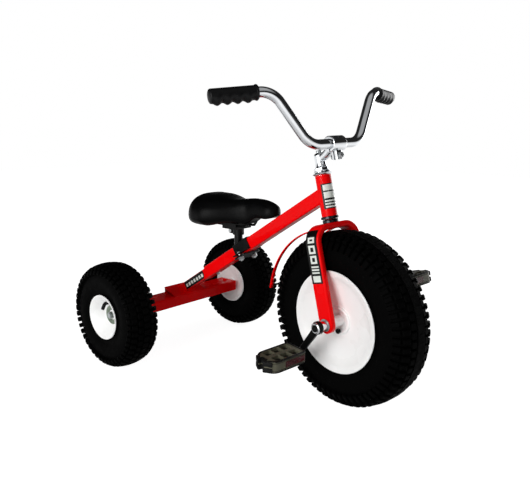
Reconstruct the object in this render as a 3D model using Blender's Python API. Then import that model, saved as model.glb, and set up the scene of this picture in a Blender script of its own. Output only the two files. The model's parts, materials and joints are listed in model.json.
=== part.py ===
"""Child's tricycle with knobby pneumatic tyres, a chrome bar and a direct-drive front wheel.

Sizes are in millimetres and become metres as each mesh is made. +X is forward, +Y is the
rider's left and +Z is up. The origin is on the ground, midway between the ends.
Run it in Blender's text editor or with: blender --background --python part.py
"""

import math

import bmesh
import bpy
from mathutils import Matrix, Vector

MM = 0.001
GAP = 0.3            # running and seating gap between two pieces that touch
TAU = 2.0 * math.pi

# Wheels
FRONT_R = 200.0
FRONT_W = 97.0
FRONT_CARCASS_R = 192.5
FRONT_BEAD_R = 101.5
FRONT_RIM_R = 117.5
FRONT_RIM_HALF = 45.0
REAR_R = 137.5
REAR_W = 84.0
REAR_CARCASS_R = 131.0
REAR_BEAD_R = 50.8
REAR_RIM_R = 59.5
REAR_RIM_HALF = 38.5
TYRE_WALL = 7.0
BEAD_WIDTH = 9.0
TYRE_SEAT = 0.8                    # keeps the flats of the tyre's bead off the rim
TREAD_DROP = 18.0                  # how far the tread falls from its middle to the shoulder
SHOULDER_LEAN = 0.45               # sideways share of a shoulder block's rise
LUG_TAPER = 0.80
FRONT_TYRE_STEPS = 40
FRONT_TREAD_ROWS = 5
REAR_TYRE_STEPS = 24
REAR_TREAD_ROWS = 3
VALVE_R = 4.2
REAR_AXLE_R = 6.0
REAR_AXLE_END = 10.5               # axle showing outside each rear hub
REAR_HUB_R = 13.0
REAR_HUB_INNER = 45.7              # from the middle of a rear wheel to its hub's inner end
REAR_HUB_OUTER = 10.0
REAR_VALVE_SEAT_R = 21.0
FRONT_HUB_R = 12.5
HUB_BOLT_R = 23.6
HUB_BOLT_TURN = math.radians(111.8)
HUB_BOLT_FACE = 28.6
TRACK = 466.0
WHEELBASE = 564.0

# Steering
HEAD_TILT = math.radians(14.0)
STEER = math.radians(8.8)          # the bars are turned this far to the rider's right

# Frame tubes
TUBE_JOIN = 283.48                 # the tube's centre line meets the steering axis this far up it
TUBE_SIZE = 32.0
TUBE_WALL = 3.0
TUBE_CORNER = 4.0
TUBE_AXIS_Z = 157.0                # height of the tube's centre line above the rear axle
TUBE_REAR_X = 107.0                # the outer tube ends here, ahead of the rear axle
STUB_WALL = 2.0
STUB_END_X = 165.0                 # the stub reaches this far forward inside the outer tube
STUB_CUT_X = -14.0
DECK_DEPTH = 65.0
DECK_HEIGHT = 28.0
DECK_SHEET = 2.5
DECK_BEVEL = 3.0
DECK_END_PLATE = 3.0
DECK_INSET = 0.6                   # the end plates lie this far inside the sheet's faces
DOME_R = 7.0
DOME_EDGE = 16.0
RAMP_HALF = 56.0                   # bent plate between the deck and the tube
RAMP_RISE = 19.0
RAMP_RUN = 47.0
RAMP_SHEET = 3.0
FRAME_BOLT_X = 138.0
FRAME_BOLT_R = 3.0

# Head tube and headset, measured up the steering axis from the front axle
HEAD_LOW = 233.5
HEAD_LENGTH = 92.0
HEAD_R = 18.0
HEAD_WALL = 1.8
STEERER_R = 12.7
STEERER_WALL = 1.3
CUP_WALL = 1.4
CUP_DEPTH = 12.0
UPPER_LIP_R = 23.0
LOWER_LIP_R = 20.5
BALL_R = 2.2
BALL_RING_R = 16.4
BALL_STEP = 4.8                    # from the head tube's end to the middle of its balls
LOCK_NUT = 6.5
LOCK_NUT_R = 18.6

# Fork
LEG_WIDTH = 40.0
LEG_THICK = 14.0
LEG_CENTRE_Y = 63.0
LEG_EDGE_R = 4.5
CROWN_CLEARANCE = 4.5
SHOULDER_R = 33.0
AXLE_R = 8.0
BUSH_WALL = 4.0
BUSH_FLANGE_R = 14.0
BUSH_FLANGE = 2.5

# Crank and pedals
CRANK_LENGTH = 86.0
CRANK_TURN = math.radians(141.0)
CRANK_THICK = 9.0
CRANK_Y = 93.0                     # middle of the crank arm
CRANK_EYE_R = 14.5
CRANK_NECK_HALF = 8.5              # half width of the arm beside its eyes
CRANK_TIP_HALF = 6.6
CRANK_COLLAR_R = 10.5
CRANK_NUT_R = 12.5                 # the nut's own round flange
CRANK_NUT_HIGH = 8.0
PEDAL_EYE_R = 9.5
SPINDLE_R = 4.5
SPINDLE_STEP = 1.0
SPINDLE_FLANGE_R = 8.0
SPINDLE_FLANGE = 4.0
PEDAL_INNER_Y = 108.0
PEDAL_LENGTH = 104.0
PEDAL_DEPTH = 62.0
PEDAL_HEIGHT = 26.0
PEDAL_CORNER_R = 22.0
PEDAL_CORNER_IN = 26.0
PEDAL_CHAMFER = 4.0
PEDAL_NOTCH_HALF = 7.0
PEDAL_NOTCH_DEEP = 8.0
PEDAL_POCKETS = 3
PEDAL_POCKET = 20.0
PEDAL_POCKET_STEP = 24.5
PEDAL_POCKET_START = 12.0
PEDAL_POCKET_DEEP = 8.0
PEDAL_WEB_HALF = 9.0               # solid middle between the two rows of pockets
PEDAL_RIM = 13.0
REFLECTOR_LENGTH = 56.0
REFLECTOR_HEIGHT = 14.0
REFLECTOR_START = 5.0
REFLECTOR_DEEP = 2.0
REFLECTOR_PROUD = 0.8
PEDAL_TILT_RIGHT = math.radians(2.0)
PEDAL_TILT_LEFT = math.radians(-12.0)

# Stem, handlebar and grips
QUILL_R = 11.1
NECK_R = 13.2
NECK_TOP = 376.0
STEM_FOOT = 62.0                   # the quill reaches this far down the head tube
STEM_REACH = 52.0
STEM_ARM_DEEP = 18.0
STEM_ARM_WIDE = 20.0
STEM_EAR = 17.0
STEM_SLOT = 3.0
EXPANDER_R = 4.0
EXPANDER_HEAD_R = 7.0
EXPANDER_HEAD = 5.5
EXPANDER_FOOT_R = 9.5
EXPANDER_FOOT = 6.0
PINCH_BOLT_R = 3.0
PINCH_HEAD_R = 6.0
BAR_BEND_R = 50.0
BAR_R = 11.1
BAR_LOW = 386.0
BAR_FLAT_HALF = 76.0
BAR_TOP = 499.0
BAR_TOP_HALF = 153.0
GRIP_START = (40.0, 183.0, 504.0)
GRIP_END = (5.0, 278.0, 500.0)
GRIP_R = 15.0
GRIP_FINGER = 4.5
GRIP_CAP = 4.0
CLAMP_R = 17.5
CLAMP_LENGTH = 40.0
PINCH_DROP = 27.0

# Wheel guard behind the front tyre
GUARD_R = 207.5
GUARD_WIDTH = 9.0
GUARD_SHEET = 3.0
GUARD_Y = 49.5
GUARD_START = math.radians(5.65)
GUARD_END = math.radians(66.0)
GUARD_BAR_R = 2.5

# Seat, placed by its distance up the tube's centre line from above the rear axle
SEAT_S = 298.0
SEAT_BRACKET_LENGTH = 56.0
SEAT_SHEET = 2.5
SEAT_BOLT_R = 3.5
SEAT_BOLT_Y = 24.5
SEAT_BOLT_S = -8.0
POST_R = 11.0
POST_X = -22.0                     # along the tube from the middle of the bracket
SADDLE_LENGTH = 267.0
SADDLE_HALF = 88.0
SADDLE_NOSE_HALF = 24.8
SADDLE_TOP_RISE = 134.0            # heights above the tube's centre line at SEAT_S
SADDLE_BASE_RISE = 65.0
RAIL_RISE = 56.0
SADDLE_TIP_RISE = 11.0
SADDLE_NOSE_CLEAR = 16.5           # level distance from the nose to the tube's upper face
SADDLE_MIDDLE_DIP = 7.2
SADDLE_REAR_DROP = 46.0
SADDLE_NOSE_DROP = 15.6
SADDLE_FALL = 6.9                  # fall of the upper face from rear to nose
SADDLE_SKIRT = 11.0                # the skirt hangs this far below the hollow underside
SADDLE_SKIRT_END = 0.30            # shares of the length where the skirt begins and stops rising
SADDLE_SKIRT_GONE = 0.52
SADDLE_TUCK = 0.09
SADDLE_NOSE_RISE = 18.0            # the underside is this much higher below the nose
SADDLE_RISE_START = 0.66           # share of the length where the underside begins to rise
SADDLE_RISE_SHARE = 0.13
RAIL_R = 3.5
RAIL_Y = 21.0
RAIL_REAR = 42.0                   # from the saddle's rear end
RAIL_REAR_Y = 30.0
RAIL_REAR_RUN = 34.0
RAIL_NOSE = 191.0
RAIL_NOSE_Y = 12.0
RAIL_NOSE_RUN = 16.0
RAIL_BEND_R = 10.0
CLAMP_UNDER_RAIL = 6.0
CLAMP_OVER_RAIL = 6.2

# Colours
RED = (0.70, 0.010, 0.012)
CHROME = (0.72, 0.73, 0.75)
WHITE = (0.86, 0.86, 0.84)
BLACK = (0.012, 0.012, 0.012)
ZINC = (0.55, 0.56, 0.56)
GREY = (0.20, 0.20, 0.18)
AMBER = (0.30, 0.020, 0.010)

# Places worked out from the sizes above
ORIGIN_X = (WHEELBASE + FRONT_R * math.cos(STEER) - REAR_R) / 2
CROWN_MID = FRONT_R + CROWN_CLEARANCE + LEG_THICK / 2
CROWN_TOP = CROWN_MID + LEG_THICK / 2
HEAD_TOP = HEAD_LOW + HEAD_LENGTH
STUB_SIZE = TUBE_SIZE - 2 * TUBE_WALL - 2 * GAP
DECK_TOP = REAR_R + DECK_HEIGHT / 2
LEG_OUTER_Y = LEG_CENTRE_Y + LEG_THICK / 2
LEG_INNER_Y = LEG_CENTRE_Y - LEG_THICK / 2
TUBE_SLOPE = math.atan2(FRONT_R + TUBE_JOIN * math.cos(HEAD_TILT) - TUBE_AXIS_Z,
                        WHEELBASE - TUBE_JOIN * math.sin(HEAD_TILT))
DECK_HALF = TRACK / 2 - REAR_HUB_INNER - GAP
SEAT_Z = TUBE_AXIS_Z + SEAT_S * math.sin(TUBE_SLOPE)
SADDLE_TOP = SEAT_Z + SADDLE_TOP_RISE
SADDLE_BASE = SEAT_Z + SADDLE_BASE_RISE
RAIL_Z = SEAT_Z + RAIL_RISE
POST_TOP = RAIL_Z - RAIL_R - CLAMP_UNDER_RAIL
POST_RISE = TUBE_SIZE / 2 + GAP + SEAT_SHEET - 2.0
SADDLE_TIP_Z = SADDLE_BASE + SADDLE_NOSE_RISE + SADDLE_TIP_RISE
TUBE_FACE_X = (SADDLE_TIP_Z - TUBE_AXIS_Z - TUBE_SIZE / 2 / math.cos(TUBE_SLOPE)) / math.tan(TUBE_SLOPE)
SADDLE_REAR_X = TUBE_FACE_X - SADDLE_NOSE_CLEAR - SADDLE_LENGTH
CUP_OUT = HEAD_R - HEAD_WALL - GAP
CUP_IN = CUP_OUT - CUP_WALL
FRONT_HUB_HALF = LEG_INNER_Y - 2.0


def remove_everything():
    for thing in list(bpy.data.objects):
        bpy.data.objects.remove(thing, do_unlink=True)


def material(name, colour, roughness, metallic):
    found = bpy.data.materials.get(name)
    if found:
        return found
    made = bpy.data.materials.new(name)
    made.use_nodes = True
    shader = made.node_tree.nodes["Principled BSDF"]
    shader.inputs["Base Color"].default_value = (*colour, 1.0)
    shader.inputs["Roughness"].default_value = roughness
    shader.inputs["Metallic"].default_value = metallic
    made.diffuse_color = (*colour, 1.0)
    return made


def red_paint():
    return material("red_paint", RED, 0.25, 0.0)


def chrome():
    return material("chrome", CHROME, 0.08, 1.0)


def zinc():
    return material("zinc", ZINC, 0.35, 1.0)


def white_paint():
    return material("white_paint", WHITE, 0.35, 0.0)


def tyre_rubber():
    return material("tyre_rubber", BLACK, 0.75, 0.0)


def grip_rubber():
    return material("grip_rubber", BLACK, 0.55, 0.0)


def saddle_vinyl():
    return material("saddle_vinyl", BLACK, 0.45, 0.0)


def black_steel():
    return material("black_steel", BLACK, 0.40, 0.5)


def pedal_plastic():
    return material("pedal_plastic", GREY, 0.50, 0.0)


def reflector_plastic():
    return material("reflector_plastic", AMBER, 0.20, 0.0)


def bearing_steel():
    return material("bearing_steel", ZINC, 0.20, 1.0)


def empty(name, location, rotation=(0.0, 0.0, 0.0), parent=None):
    made = bpy.data.objects.new(name, None)
    bpy.context.collection.objects.link(made)
    made.location = Vector(location) * MM
    made.rotation_euler = rotation
    made.parent = parent
    return made


def finish(name, mesh, look, parent=None, location=(0, 0, 0), rotation=(0, 0, 0), smooth=35.0):
    """Turn a mesh in millimetres into one placed object."""
    bmesh.ops.remove_doubles(mesh, verts=mesh.verts, dist=0.0005)
    bmesh.ops.recalc_face_normals(mesh, faces=mesh.faces)
    bmesh.ops.scale(mesh, vec=(MM, MM, MM), verts=mesh.verts)
    limit = math.radians(smooth)
    for face in mesh.faces:
        face.smooth = True
    for edge in mesh.edges:
        edge.smooth = len(edge.link_faces) != 2 or edge.calc_face_angle(0.0) < limit
    data = bpy.data.meshes.new(name)
    mesh.to_mesh(data)
    mesh.free()
    made = bpy.data.objects.new(name, data)
    bpy.context.collection.objects.link(made)
    if look:
        data.materials.append(look)
    made.location = Vector(location) * MM
    made.rotation_euler = rotation
    made.parent = parent
    return made


def cut(target, tool, operation="DIFFERENCE"):
    """Cut or join with a hidden tool that follows the target's parent."""
    tool.hide_render = True
    tool.display_type = "WIRE"
    step = target.modifiers.new(tool.name, "BOOLEAN")
    step.operation = operation
    step.solver = "EXACT"
    step.object = tool
    return target


def join(target, tool):
    return cut(target, tool, "UNION")


def circle(radius, count, centre=(0.0, 0.0), start=0.0):
    return [(centre[0] + radius * math.cos(start + TAU * i / count),
             centre[1] + radius * math.sin(start + TAU * i / count)) for i in range(count)]


def arc(centre, radius, start, end, steps):
    return [(centre[0] + radius * math.cos(start + (end - start) * i / steps),
             centre[1] + radius * math.sin(start + (end - start) * i / steps))
            for i in range(steps + 1)]


def rounded_box(width, height, radius, steps=2):
    """Outline of a rectangle with round corners, counter-clockwise."""
    outline = []
    for index, (sx, sy) in enumerate(((1, 1), (-1, 1), (-1, -1), (1, -1))):
        centre = (sx * (width / 2 - radius), sy * (height / 2 - radius))
        outline += arc(centre, radius, index * TAU / 4, (index + 1) * TAU / 4, steps)
    return outline


def extruded(outline, depth, low=0.0):
    """A prism on a closed outline, from low to low + depth along Z."""
    mesh = bmesh.new()
    base = mesh.faces.new([mesh.verts.new((x, y, low)) for x, y in outline])
    grown = bmesh.ops.extrude_face_region(mesh, geom=[base])
    tops = [item for item in grown["geom"] if isinstance(item, bmesh.types.BMVert)]
    bmesh.ops.translate(mesh, vec=(0.0, 0.0, depth), verts=tops)
    return mesh


def box(x0, x1, y0, y1, z0, z1):
    return extruded([(x0, y0), (x1, y0), (x1, y1), (x0, y1)], z1 - z0, z0)


def cylinder(radius, low, high, count=24):
    return extruded(circle(radius, count), high - low, low)


def lathe(profile, steps):
    """Turn a closed profile of (radius, height) points about Z."""
    mesh = bmesh.new()
    points = [mesh.verts.new((radius, 0.0, height)) for radius, height in profile]
    edges = [mesh.edges.new((points[i], points[(i + 1) % len(points)])) for i in range(len(points))]
    bmesh.ops.spin(mesh, geom=points + edges, axis=(0, 0, 1), cent=(0, 0, 0),
                   steps=steps, angle=TAU, use_merge=True)
    bmesh.ops.remove_doubles(mesh, verts=mesh.verts, dist=0.0005)
    bmesh.ops.dissolve_degenerate(mesh, edges=mesh.edges, dist=0.0005)
    return mesh


def fillet_path(points, radius, steps):
    """Round the corners of a 3-D path."""
    path = [Vector(points[0])]
    for before, corner, after in zip(points, points[1:], points[2:]):
        corner = Vector(corner)
        into = (Vector(before) - corner).normalized()
        out = (Vector(after) - corner).normalized()
        half = into.angle(out) / 2
        reach = radius / math.tan(half)
        centre = corner + (into + out).normalized() * radius / math.sin(half)
        first = corner + into * reach - centre
        turn = math.pi - 2 * half
        spin_axis = first.cross(corner + out * reach - centre).normalized()
        for i in range(steps + 1):
            path.append(centre + Matrix.Rotation(turn * i / steps, 3, spin_axis) @ first)
    path.append(Vector(points[-1]))
    return path


def sweep(path, outline, side, widths=None):
    """Carry an outline along a flat path; its first axis stays in the path's plane."""
    mesh = bmesh.new()
    side = Vector(side)
    rings = []
    for index, point in enumerate(path):
        before = path[max(index - 1, 0)]
        after = path[min(index + 1, len(path) - 1)]
        normal = side.cross((after - before).normalized()).normalized()
        width = widths[index] if widths else 1.0
        rings.append([mesh.verts.new(point + normal * a + side * b * width) for a, b in outline])
    count = len(outline)
    for low, high in zip(rings, rings[1:]):
        for i in range(count):
            j = (i + 1) % count
            mesh.faces.new((low[i], low[j], high[j], high[i]))
    mesh.faces.new(rings[0])
    mesh.faces.new(rings[-1])
    return mesh


def build_nut(name, corner, bore, low, high, parent, location, rotation=(0.0, 0.0, 0.0)):
    """A hexagon nut on Z, bored through."""
    nut = finish(name, extruded(circle(corner, 6), high - low, low), zinc(), parent, location, rotation)
    hole = finish(name + "_bore", cylinder(bore, low - 2.0, high + 2.0, 12), None, parent, location,
                  rotation)
    return cut(nut, hole)


def tube_point(along, rise=0.0):
    """World place of a point on the main tube, by distance along it and height off its axis."""
    x = along * math.cos(TUBE_SLOPE) - rise * math.sin(TUBE_SLOPE)
    z = TUBE_AXIS_Z + along * math.sin(TUBE_SLOPE) + rise * math.cos(TUBE_SLOPE)
    return (x - ORIGIN_X, 0.0, z)


def along_tube(x):
    return x / math.cos(TUBE_SLOPE)


def tube_prism(name, size, corner, start, end, look=None):
    """A square bar along the main tube's centre line, between two distances along it."""
    mesh = extruded(rounded_box(size, size, corner), end - start, start)
    bmesh.ops.rotate(mesh, cent=(0, 0, 0), matrix=Matrix.Rotation(math.pi / 2 - TUBE_SLOPE, 3, "Y"),
                     verts=mesh.verts)
    return finish(name, mesh, look, location=(-ORIGIN_X, 0.0, TUBE_AXIS_Z))


def head_tool(name, mesh, look=None):
    """Place a piece made on Z so that Z lies on the steering axis, unsteered."""
    return finish(name, mesh, look, location=(WHEELBASE - ORIGIN_X, 0.0, FRONT_R),
                  rotation=(0.0, -HEAD_TILT, 0.0))


def build_main_frame():
    frame = tube_prism("main_frame", TUBE_SIZE, TUBE_CORNER, along_tube(TUBE_REAR_X) - TUBE_SIZE,
                       head_distance(), red_paint())
    head = head_tool("head_tube_form", cylinder(HEAD_R, HEAD_LOW, HEAD_TOP, 32))
    join(frame, head)
    inner = TUBE_SIZE - 2 * TUBE_WALL
    cavity = tube_prism("tube_cavity", inner, TUBE_CORNER - 2.0,
                        along_tube(TUBE_REAR_X) - 2 * TUBE_SIZE, head_distance() - HEAD_R - 6.0)
    cut(frame, cavity)
    bore = head_tool("head_bore", cylinder(HEAD_R - HEAD_WALL, HEAD_LOW - 5, HEAD_TOP + 5, 32))
    cut(frame, bore)
    cut_z = TUBE_AXIS_Z + TUBE_REAR_X * math.tan(TUBE_SLOPE)
    trim = finish("tube_end_trim", box(TUBE_REAR_X - 3 * TUBE_SIZE - ORIGIN_X, TUBE_REAR_X - ORIGIN_X,
                                       -TUBE_SIZE, TUBE_SIZE, cut_z - 3 * TUBE_SIZE,
                                       cut_z + 3 * TUBE_SIZE), None)
    cut(frame, trim)
    cut(frame, frame_bolt_hole("frame_bolt_hole_outer"))
    return frame


def head_distance():
    """Distance along the main tube to the steering axis."""
    return (WHEELBASE - TUBE_JOIN * math.sin(HEAD_TILT)) / math.cos(TUBE_SLOPE)


def frame_bolt_hole(name):
    mesh = cylinder(FRAME_BOLT_R + GAP, -TUBE_SIZE, -TUBE_SIZE / 4, 12)
    return finish(name, mesh, None, location=tube_point(along_tube(FRAME_BOLT_X)),
                  rotation=(0.0, -TUBE_SLOPE, 0.0))


def build_frame_bolt():
    seat = -TUBE_SIZE / 2 - GAP
    head = lathe([(0, seat - 4.5), (5.0, seat - 4.5), (5.8, seat), (FRAME_BOLT_R, seat),
                  (FRAME_BOLT_R, -STUB_SIZE / 2 + STUB_WALL + 3), (0, -STUB_SIZE / 2 + STUB_WALL + 3)], 6)
    return finish("frame_bolt", head, zinc(), location=tube_point(along_tube(FRAME_BOLT_X)),
                  rotation=(0.0, -TUBE_SLOPE, 0.0))


def build_rear_frame():
    half = DECK_DEPTH / 2
    inner = half - DECK_SHEET
    top = DECK_TOP
    low = DECK_TOP - DECK_HEIGHT
    bevel = DECK_BEVEL
    outline = [(-half, low), (-half, top - bevel), (-half + bevel, top), (half - bevel, top),
               (half, top - bevel), (half, low), (inner, low), (inner, top - DECK_SHEET),
               (-inner, top - DECK_SHEET),
               (-inner, low)]
    mesh = extruded([(x, -z) for x, z in outline], 2 * DECK_HALF, -DECK_HALF)
    bmesh.ops.rotate(mesh, cent=(0, 0, 0), matrix=Matrix.Rotation(-math.pi / 2, 3, "X"),
                     verts=mesh.verts)
    frame = finish("rear_frame", mesh, red_paint(), location=(-ORIGIN_X, 0.0, 0.0))
    for side, sign in (("right", -1), ("left", 1)):
        edge = sign * DECK_HALF
        start = min(edge, edge - sign * DECK_END_PLATE)
        plate = finish("deck_end_" + side, box(-half + DECK_INSET, half - DECK_INSET, start,
                                               start + DECK_END_PLATE, low, top - DECK_INSET),
                       None, location=(-ORIGIN_X, 0.0, 0.0))
        join(frame, plate)
        dome = finish("deck_dome_" + side, lathe([(0, -1.0), (DOME_R, -1.0), (DOME_R, 1.2),
                                                  (DOME_R - 2.0, 3.6), (0, 4.4)], 8), None,
                      location=(-ORIGIN_X, edge - sign * DOME_EDGE, top))
        join(frame, dome)
    slope = math.atan2(RAMP_RISE, RAMP_RUN)
    length = math.hypot(RAMP_RISE, RAMP_RUN)
    plate = finish("tube_saddle_plate", box(-length, 1.2, -RAMP_HALF, RAMP_HALF,
                                            -RAMP_SHEET, 0.0), None,
                   location=(half - 1.0 - ORIGIN_X, 0.0, top + 1.0), rotation=(0.0, slope, 0.0))
    join(frame, plate)
    leg_x = half - 1.0 - RAMP_RUN
    leg = finish("tube_saddle_leg", box(leg_x, leg_x + RAMP_SHEET, -RAMP_HALF + 0.4,
                                        RAMP_HALF - 0.4, top - 1.0, top + RAMP_RISE - 1.0),
                 None, location=(-ORIGIN_X, 0.0, 0.0))
    join(frame, leg)
    stub = tube_prism("stub_form", STUB_SIZE, TUBE_CORNER - 1.5, along_tube(STUB_CUT_X) - 60.0,
                      along_tube(STUB_END_X))
    far = 5 * TUBE_SIZE
    floor = finish("stub_floor", box(-far, 2 * TUBE_SIZE, -TUBE_SIZE, TUBE_SIZE, low - far,
                                     top - DECK_SHEET / 2), None, location=(-ORIGIN_X, 0.0, 0.0))
    cut(stub, floor)
    back = finish("stub_back", box(-far, STUB_CUT_X, -TUBE_SIZE, TUBE_SIZE, low - far,
                                   top + far), None, location=(-ORIGIN_X, 0.0, 0.0))
    cut(stub, back)
    join(frame, stub)
    hollow = tube_prism("stub_cavity", STUB_SIZE - 2 * STUB_WALL, 1.0, along_tube(60.0),
                        along_tube(STUB_END_X) + 10.0)
    cut(frame, hollow)
    bore = finish("rear_axle_bore", cylinder(REAR_AXLE_R + GAP, -DECK_HALF - 5, DECK_HALF + 5, 16),
                  None, location=(-ORIGIN_X, 0.0, REAR_R), rotation=(math.pi / 2, 0.0, 0.0))
    cut(frame, bore)
    cut(frame, frame_bolt_hole("frame_bolt_hole_inner"))
    return frame


def build_rear_axle():
    half = TRACK / 2 + REAR_HUB_OUTER + REAR_AXLE_END
    mesh = cylinder(REAR_AXLE_R, -half, half, 16)
    return finish("rear_axle", mesh, zinc(), location=(-ORIGIN_X, 0.0, REAR_R),
                  rotation=(math.pi / 2, 0.0, 0.0))


def build_headset(steering):
    """Pressed cups on the head tube; race, cone, ball rings and lock nut on the steerer."""
    cups = []
    lip = HEAD_TOP + GAP
    upper = [(CUP_IN, HEAD_TOP - CUP_DEPTH), (CUP_OUT, HEAD_TOP - CUP_DEPTH), (CUP_OUT, lip),
             (UPPER_LIP_R - 4.0, lip), (UPPER_LIP_R, lip + 3.5), (UPPER_LIP_R - 1.0, lip + 5.0),
             (UPPER_LIP_R - 3.8, lip + 3.0), (BALL_RING_R - 0.9, lip + CUP_WALL), (CUP_IN, lip + CUP_WALL)]
    cups.append(head_tool("upper_headset_cup", lathe(upper, 20), chrome()))
    lip = HEAD_LOW - GAP
    lower = [(CUP_IN, HEAD_LOW + CUP_DEPTH), (CUP_OUT, HEAD_LOW + CUP_DEPTH), (CUP_OUT, lip),
             (LOWER_LIP_R - 1.0, lip), (LOWER_LIP_R, lip - 2.5), (LOWER_LIP_R, lip - 6.0),
             (LOWER_LIP_R - 1.5, lip - 6.0), (LOWER_LIP_R - 1.7, lip - 2.2),
             (BALL_RING_R - 0.9, lip - CUP_WALL), (CUP_IN, lip - CUP_WALL)]
    cups.append(head_tool("lower_headset_cup", lathe(lower, 20), chrome()))
    inside = STEERER_R + GAP
    race_low = CROWN_TOP + GAP
    race_top = HEAD_LOW - BALL_STEP - BALL_R - GAP
    race = [(inside, race_low), (18.2, race_low), (18.2, race_top - 2.0), (16.5, race_top),
            (inside, race_top)]
    finish("fork_crown_race", lathe(race, 20), chrome(), steering)
    finish("lower_ball_ring", ball_ring(HEAD_LOW - BALL_STEP), bearing_steel(), steering)
    ring_high = HEAD_TOP + BALL_STEP
    finish("upper_ball_ring", ball_ring(ring_high), bearing_steel(), steering)
    cone_low = ring_high + BALL_R + GAP
    cone = [(inside, cone_low - 3.0), (13.6, cone_low - 3.0), (13.9, cone_low), (20.0, cone_low),
            (20.0, cone_low + 3.0), (inside, cone_low + 3.0)]
    finish("upper_bearing_cone", lathe(cone, 20), chrome(), steering)
    nut_low = cone_low + 3.0 + GAP
    nut = extruded(circle(LOCK_NUT_R, 8), LOCK_NUT, nut_low)
    made = finish("headset_lock_nut", nut, chrome(), steering)
    cut(made, finish("lock_nut_bore", cylinder(inside, nut_low - 2, nut_low + LOCK_NUT + 2, 24),
                     None, steering))
    return nut_low + LOCK_NUT


def ball_ring(height):
    return lathe(circle(BALL_R, 6, (BALL_RING_R, height)), 16)


def build_fork(steering, steerer_top):
    outline = rounded_box(LEG_THICK, LEG_WIDTH, LEG_EDGE_R, 2)
    path = fillet_path([(0, -LEG_CENTRE_Y, 0), (0, -LEG_CENTRE_Y, CROWN_MID),
                        (0, LEG_CENTRE_Y, CROWN_MID), (0, LEG_CENTRE_Y, 0)], SHOULDER_R, 5)
    widths = [1.0] * len(path)
    for i in range(1, 6):
        turn = i / 6 * TAU / 4
        drop = LEG_WIDTH / 2 * math.sin(turn)
        path = [Vector((0, -LEG_CENTRE_Y, -drop))] + path + [Vector((0, LEG_CENTRE_Y, -drop))]
        widths = [math.cos(turn)] + widths + [math.cos(turn)]
    fork = finish("fork", sweep(path, outline, (1, 0, 0), widths), red_paint(), steering)
    steerer = finish("steerer_form", cylinder(STEERER_R, CROWN_MID, steerer_top, 24), None, steering)
    join(fork, steerer)
    bore = finish("steerer_bore", cylinder(STEERER_R - STEERER_WALL, CROWN_TOP - 3, steerer_top + 5, 24),
                  None, steering)
    cut(fork, bore)
    seat = finish("fork_bush_bore", cylinder(AXLE_R + GAP + BUSH_WALL + GAP, -LEG_OUTER_Y - 5,
                                             LEG_OUTER_Y + 5, 24), None, steering,
                  rotation=(math.pi / 2, 0, 0))
    cut(fork, seat)
    for side, sign in (("right", -1), ("left", 1)):
        inner = AXLE_R + GAP
        outer = inner + BUSH_WALL
        face = LEG_THICK / 2 + GAP
        profile = [(inner, -face - 1.0), (outer, -face - 1.0), (outer, face),
                   (BUSH_FLANGE_R, face), (BUSH_FLANGE_R, face + BUSH_FLANGE),
                   (inner, face + BUSH_FLANGE)]
        finish(side + "_axle_bush", lathe(profile, 18), zinc(), steering,
               (0, sign * LEG_CENTRE_Y, 0), (-sign * math.pi / 2, 0, 0))
    return fork


def build_guard(steering):
    """Two flat straps behind the front tyre, joined by a thin rod."""
    outline = rounded_box(GUARD_SHEET, GUARD_WIDTH, 1.0, 1)
    steps = 11
    for side, sign in (("right", -1), ("left", 1)):
        path = []
        for i in range(steps + 1):
            angle = GUARD_START + (GUARD_END - GUARD_START) * i / steps
            path.append(Vector((-GUARD_R * math.sin(angle), sign * GUARD_Y, GUARD_R * math.cos(angle))))
        strap = finish(side + "_guard_strap", sweep(path, outline, (0, 1, 0)), red_paint(), steering)
        for number, turn in enumerate((math.radians(3.0), math.radians(6.5))):
            angle = GUARD_END - turn
            rivet = lathe([(0, -3.4), (2.6, -3.0), (2.6, 3.2), (0, 3.6)], 8)
            place = (-GUARD_R * math.sin(angle), sign * GUARD_Y, GUARD_R * math.cos(angle))
            join(strap, finish("%s_guard_rivet_%d" % (side, number), rivet, None, steering, place,
                               (0, -angle, 0)))
    radius = GUARD_R + GUARD_SHEET / 2 + GAP + GUARD_BAR_R
    half = GUARD_Y + GUARD_WIDTH / 2
    place = (-radius * math.sin(GUARD_END - 0.012), 0, radius * math.cos(GUARD_END - 0.012))
    finish("guard_cross_bar", cylinder(GUARD_BAR_R, -half, half, 10), black_steel(), steering, place,
           (math.pi / 2, 0, 0))


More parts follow.
